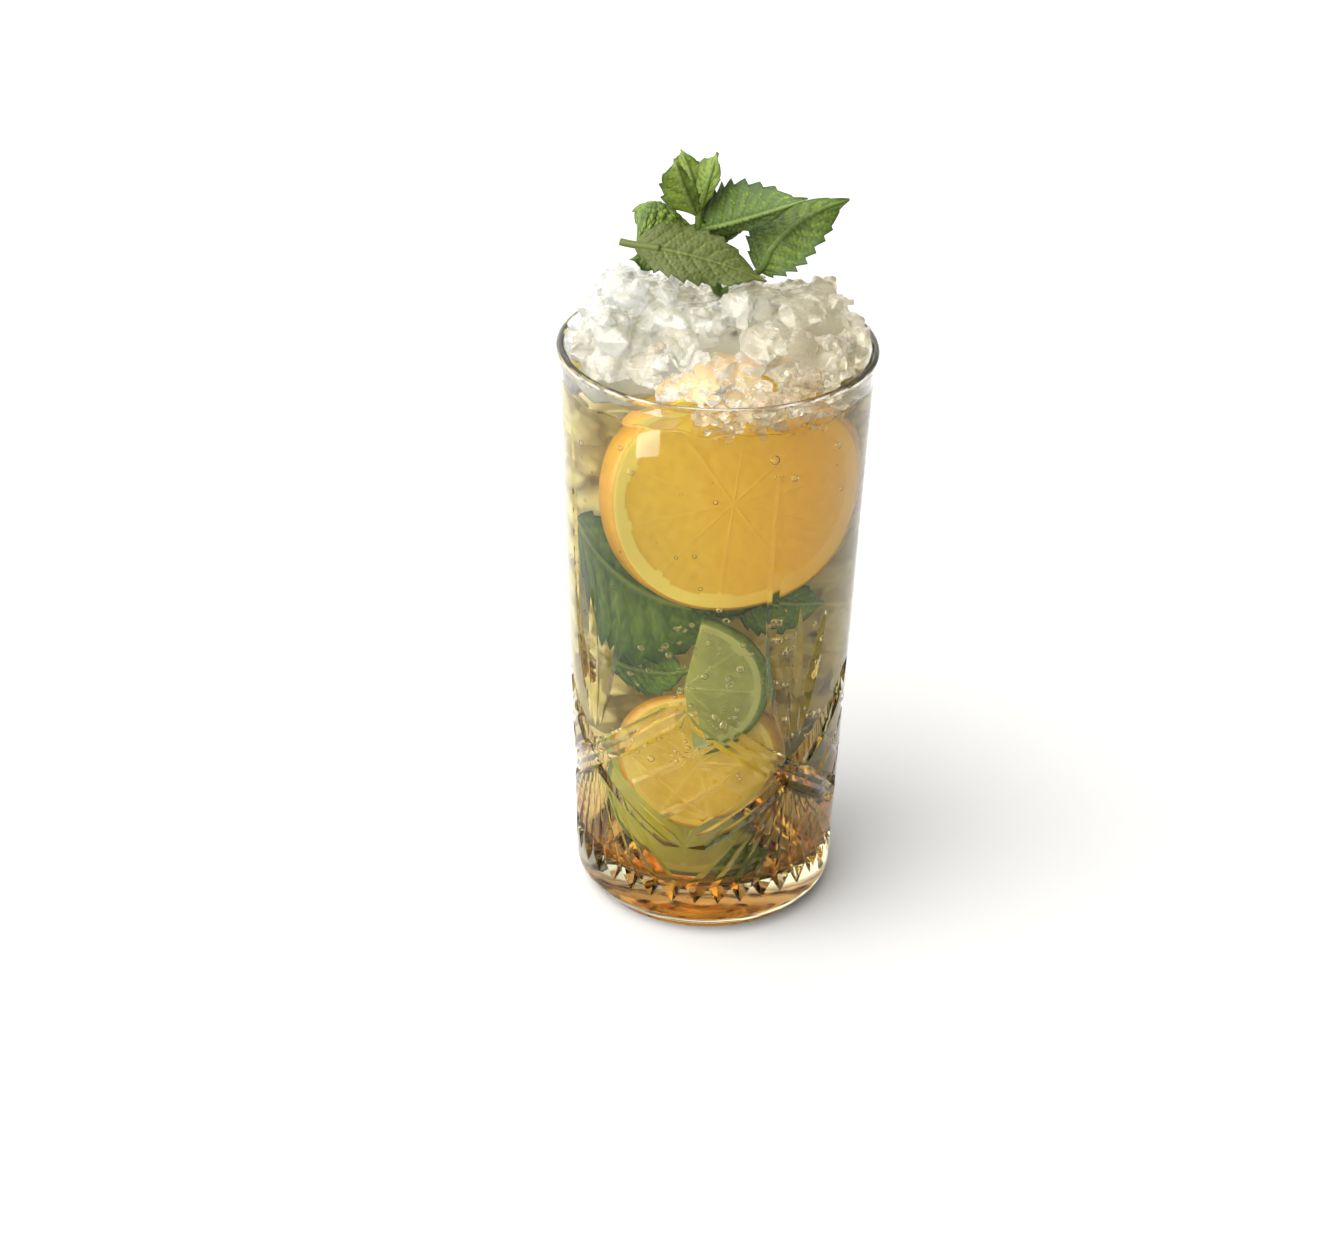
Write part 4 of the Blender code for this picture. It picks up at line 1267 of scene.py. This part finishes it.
def roughened(obj, coarse, fine, bottom):
    """Moves the points in and out by a coarse and a fine noise, inside the glass."""
    verts = obj.data.vertices
    lift = [coarse * noise.noise(v.co * 170) + fine * noise.fractal(v.co * 650, 0.8, 2.1, 3) for v in verts]
    points = np.array([vert.co for vert in verts])
    points += np.array([vert.normal for vert in verts]) * np.array(lift)[:, None]
    points = kept_inside(points)
    points[:, 2] = np.maximum(points[:, 2], bottom)
    verts.foreach_set("co", points.astype(np.float32).ravel())
    obj.data.update()


def make_ice():
    heap, front = heaped_lumps(ice_core(inner_radius(LIQUID_LEVEL) - CORE_IN, CORE_DEPTH))
    for name, parts, finish in (
        ("ice_heap", heap, heaped_ice_finish()),
        ("ice_front", front, front_ice_finish()),
    ):
        ice = joined(name, parts, finish)
        remeshed(ice, HEAP_VOXEL)
        roughened(ice, *HEAP_ROUGH, ICE_BOTTOM)
        ice.data.set_sharp_from_angle(angle=radians(HEAP_SHARP_ANGLE))
        place_piece(ice, "ice", "crushed_ice")
    grains = joined("ice_grains", swimming_grains(), grain_ice_finish())
    grains.data.set_sharp_from_angle(angle=radians(GRAIN_SHARP_ANGLE))
    place_piece(grains, "ice", "crushed_ice")
    sunk = joined("ice_sunk", sunk_lumps() + [cloud_core()], sunk_ice_finish())
    remeshed(sunk, SUNK_VOXEL)
    roughened(sunk, *SUNK_ROUGH, SUNK_ICE_BOTTOM)
    place_piece(sunk, "ice")


# The stage and the camera

def make_stage():
    made = Finish("pale_floor", Base_Color=(FLOOR_SHADE, FLOOR_SHADE, FLOOR_SHADE, 1), Roughness=0.8)
    corners = [(x * FLOOR_SIZE, y * FLOOR_SIZE, 0) for x, y in ((-1, -1), (1, -1), (1, 1), (-1, 1))]
    floor = add_mesh("floor", corners, [[0, 1, 2, 3]], made.material)
    floor.location.z = -FLOOR_DROP


def make_room():
    """A soft bright room, darker to the right, with a large soft box at the front left."""
    world = bpy.data.worlds.new("studio")
    bpy.context.scene.world = world
    world.use_nodes = True
    room = Nodes(world.node_tree)
    place = room.node("TexCoord").outputs["Generated"]

    def spread(direction, low, high, low_value, high_value):
        """A value that goes from one number to another along a direction."""
        inputs = {0: place, 1: Vector(direction).normalized()}
        dot = room.node("VectorMath", inputs, operation="DOT_PRODUCT").outputs["Value"]
        span = {"Value": dot, "From Min": low, "From Max": high, "To Min": low_value, "To Max": high_value}
        return room.node("MapRange", span, interpolation_type="SMOOTHSTEP").outputs["Result"]

    walls = room.maths("MULTIPLY", spread((0, 1, 0), *ROOM_DEPTH), spread((1, 0, 0), *ROOM_WIDTH))
    soft_box = spread(SOFT_BOX, *SOFT_BOX_EDGE, 0.0, SOFT_BOX_STRENGTH)
    background = world.node_tree.nodes["Background"]
    room.tree.links.new(room.maths("ADD", walls, soft_box), background.inputs["Strength"])
    background.inputs["Color"].default_value = ROOM_COLOUR


def make_card():
    data = bpy.data.lights.new("card", "AREA")
    data.shape = "RECTANGLE"
    data.size, data.size_y = CARD_SIZE
    data.energy = CARD_POWER
    card = bpy.data.objects.new("card", data)
    card.location = CARD_PLACE
    card.rotation_euler = (Vector(CARD_TARGET) - Vector(CARD_PLACE)).to_track_quat("-Z", "Y").to_euler()
    card.visible_camera = False
    card.visible_diffuse = False
    card.visible_transmission = False
    bpy.context.scene.collection.objects.link(card)


def make_camera():
    data = bpy.data.cameras.new("camera")
    data.lens = CAMERA_LENS
    data.sensor_width = 36.0
    camera = bpy.data.objects.new("camera", data)
    bpy.context.scene.collection.objects.link(camera)
    turn = (CAMERA_TARGET - CAMERA_PLACE).to_track_quat("-Z", "Y").to_matrix().to_4x4()
    roll = Matrix.Rotation(radians(CAMERA_ROLL), 4, "Z")
    camera.matrix_world = Matrix.Translation(CAMERA_PLACE) @ turn @ roll
    bpy.context.scene.camera = camera


def set_up_scene():
    scene = bpy.context.scene
    scene.view_settings.view_transform = "Standard"
    scene.cycles.max_bounces = 24
    scene.cycles.transmission_bounces = 24
    scene.cycles.glossy_bounces = 8
    scene.cycles.diffuse_bounces = 6
    scene.cycles.blur_glossy = 0.5
    scene.cycles.sample_clamp_indirect = 8.0


set_up_scene()
make_camera()
make_stage()
make_room()
make_card()
make_glass()
make_drink()
make_slice()
make_sunk()
make_sprig()
make_ice()
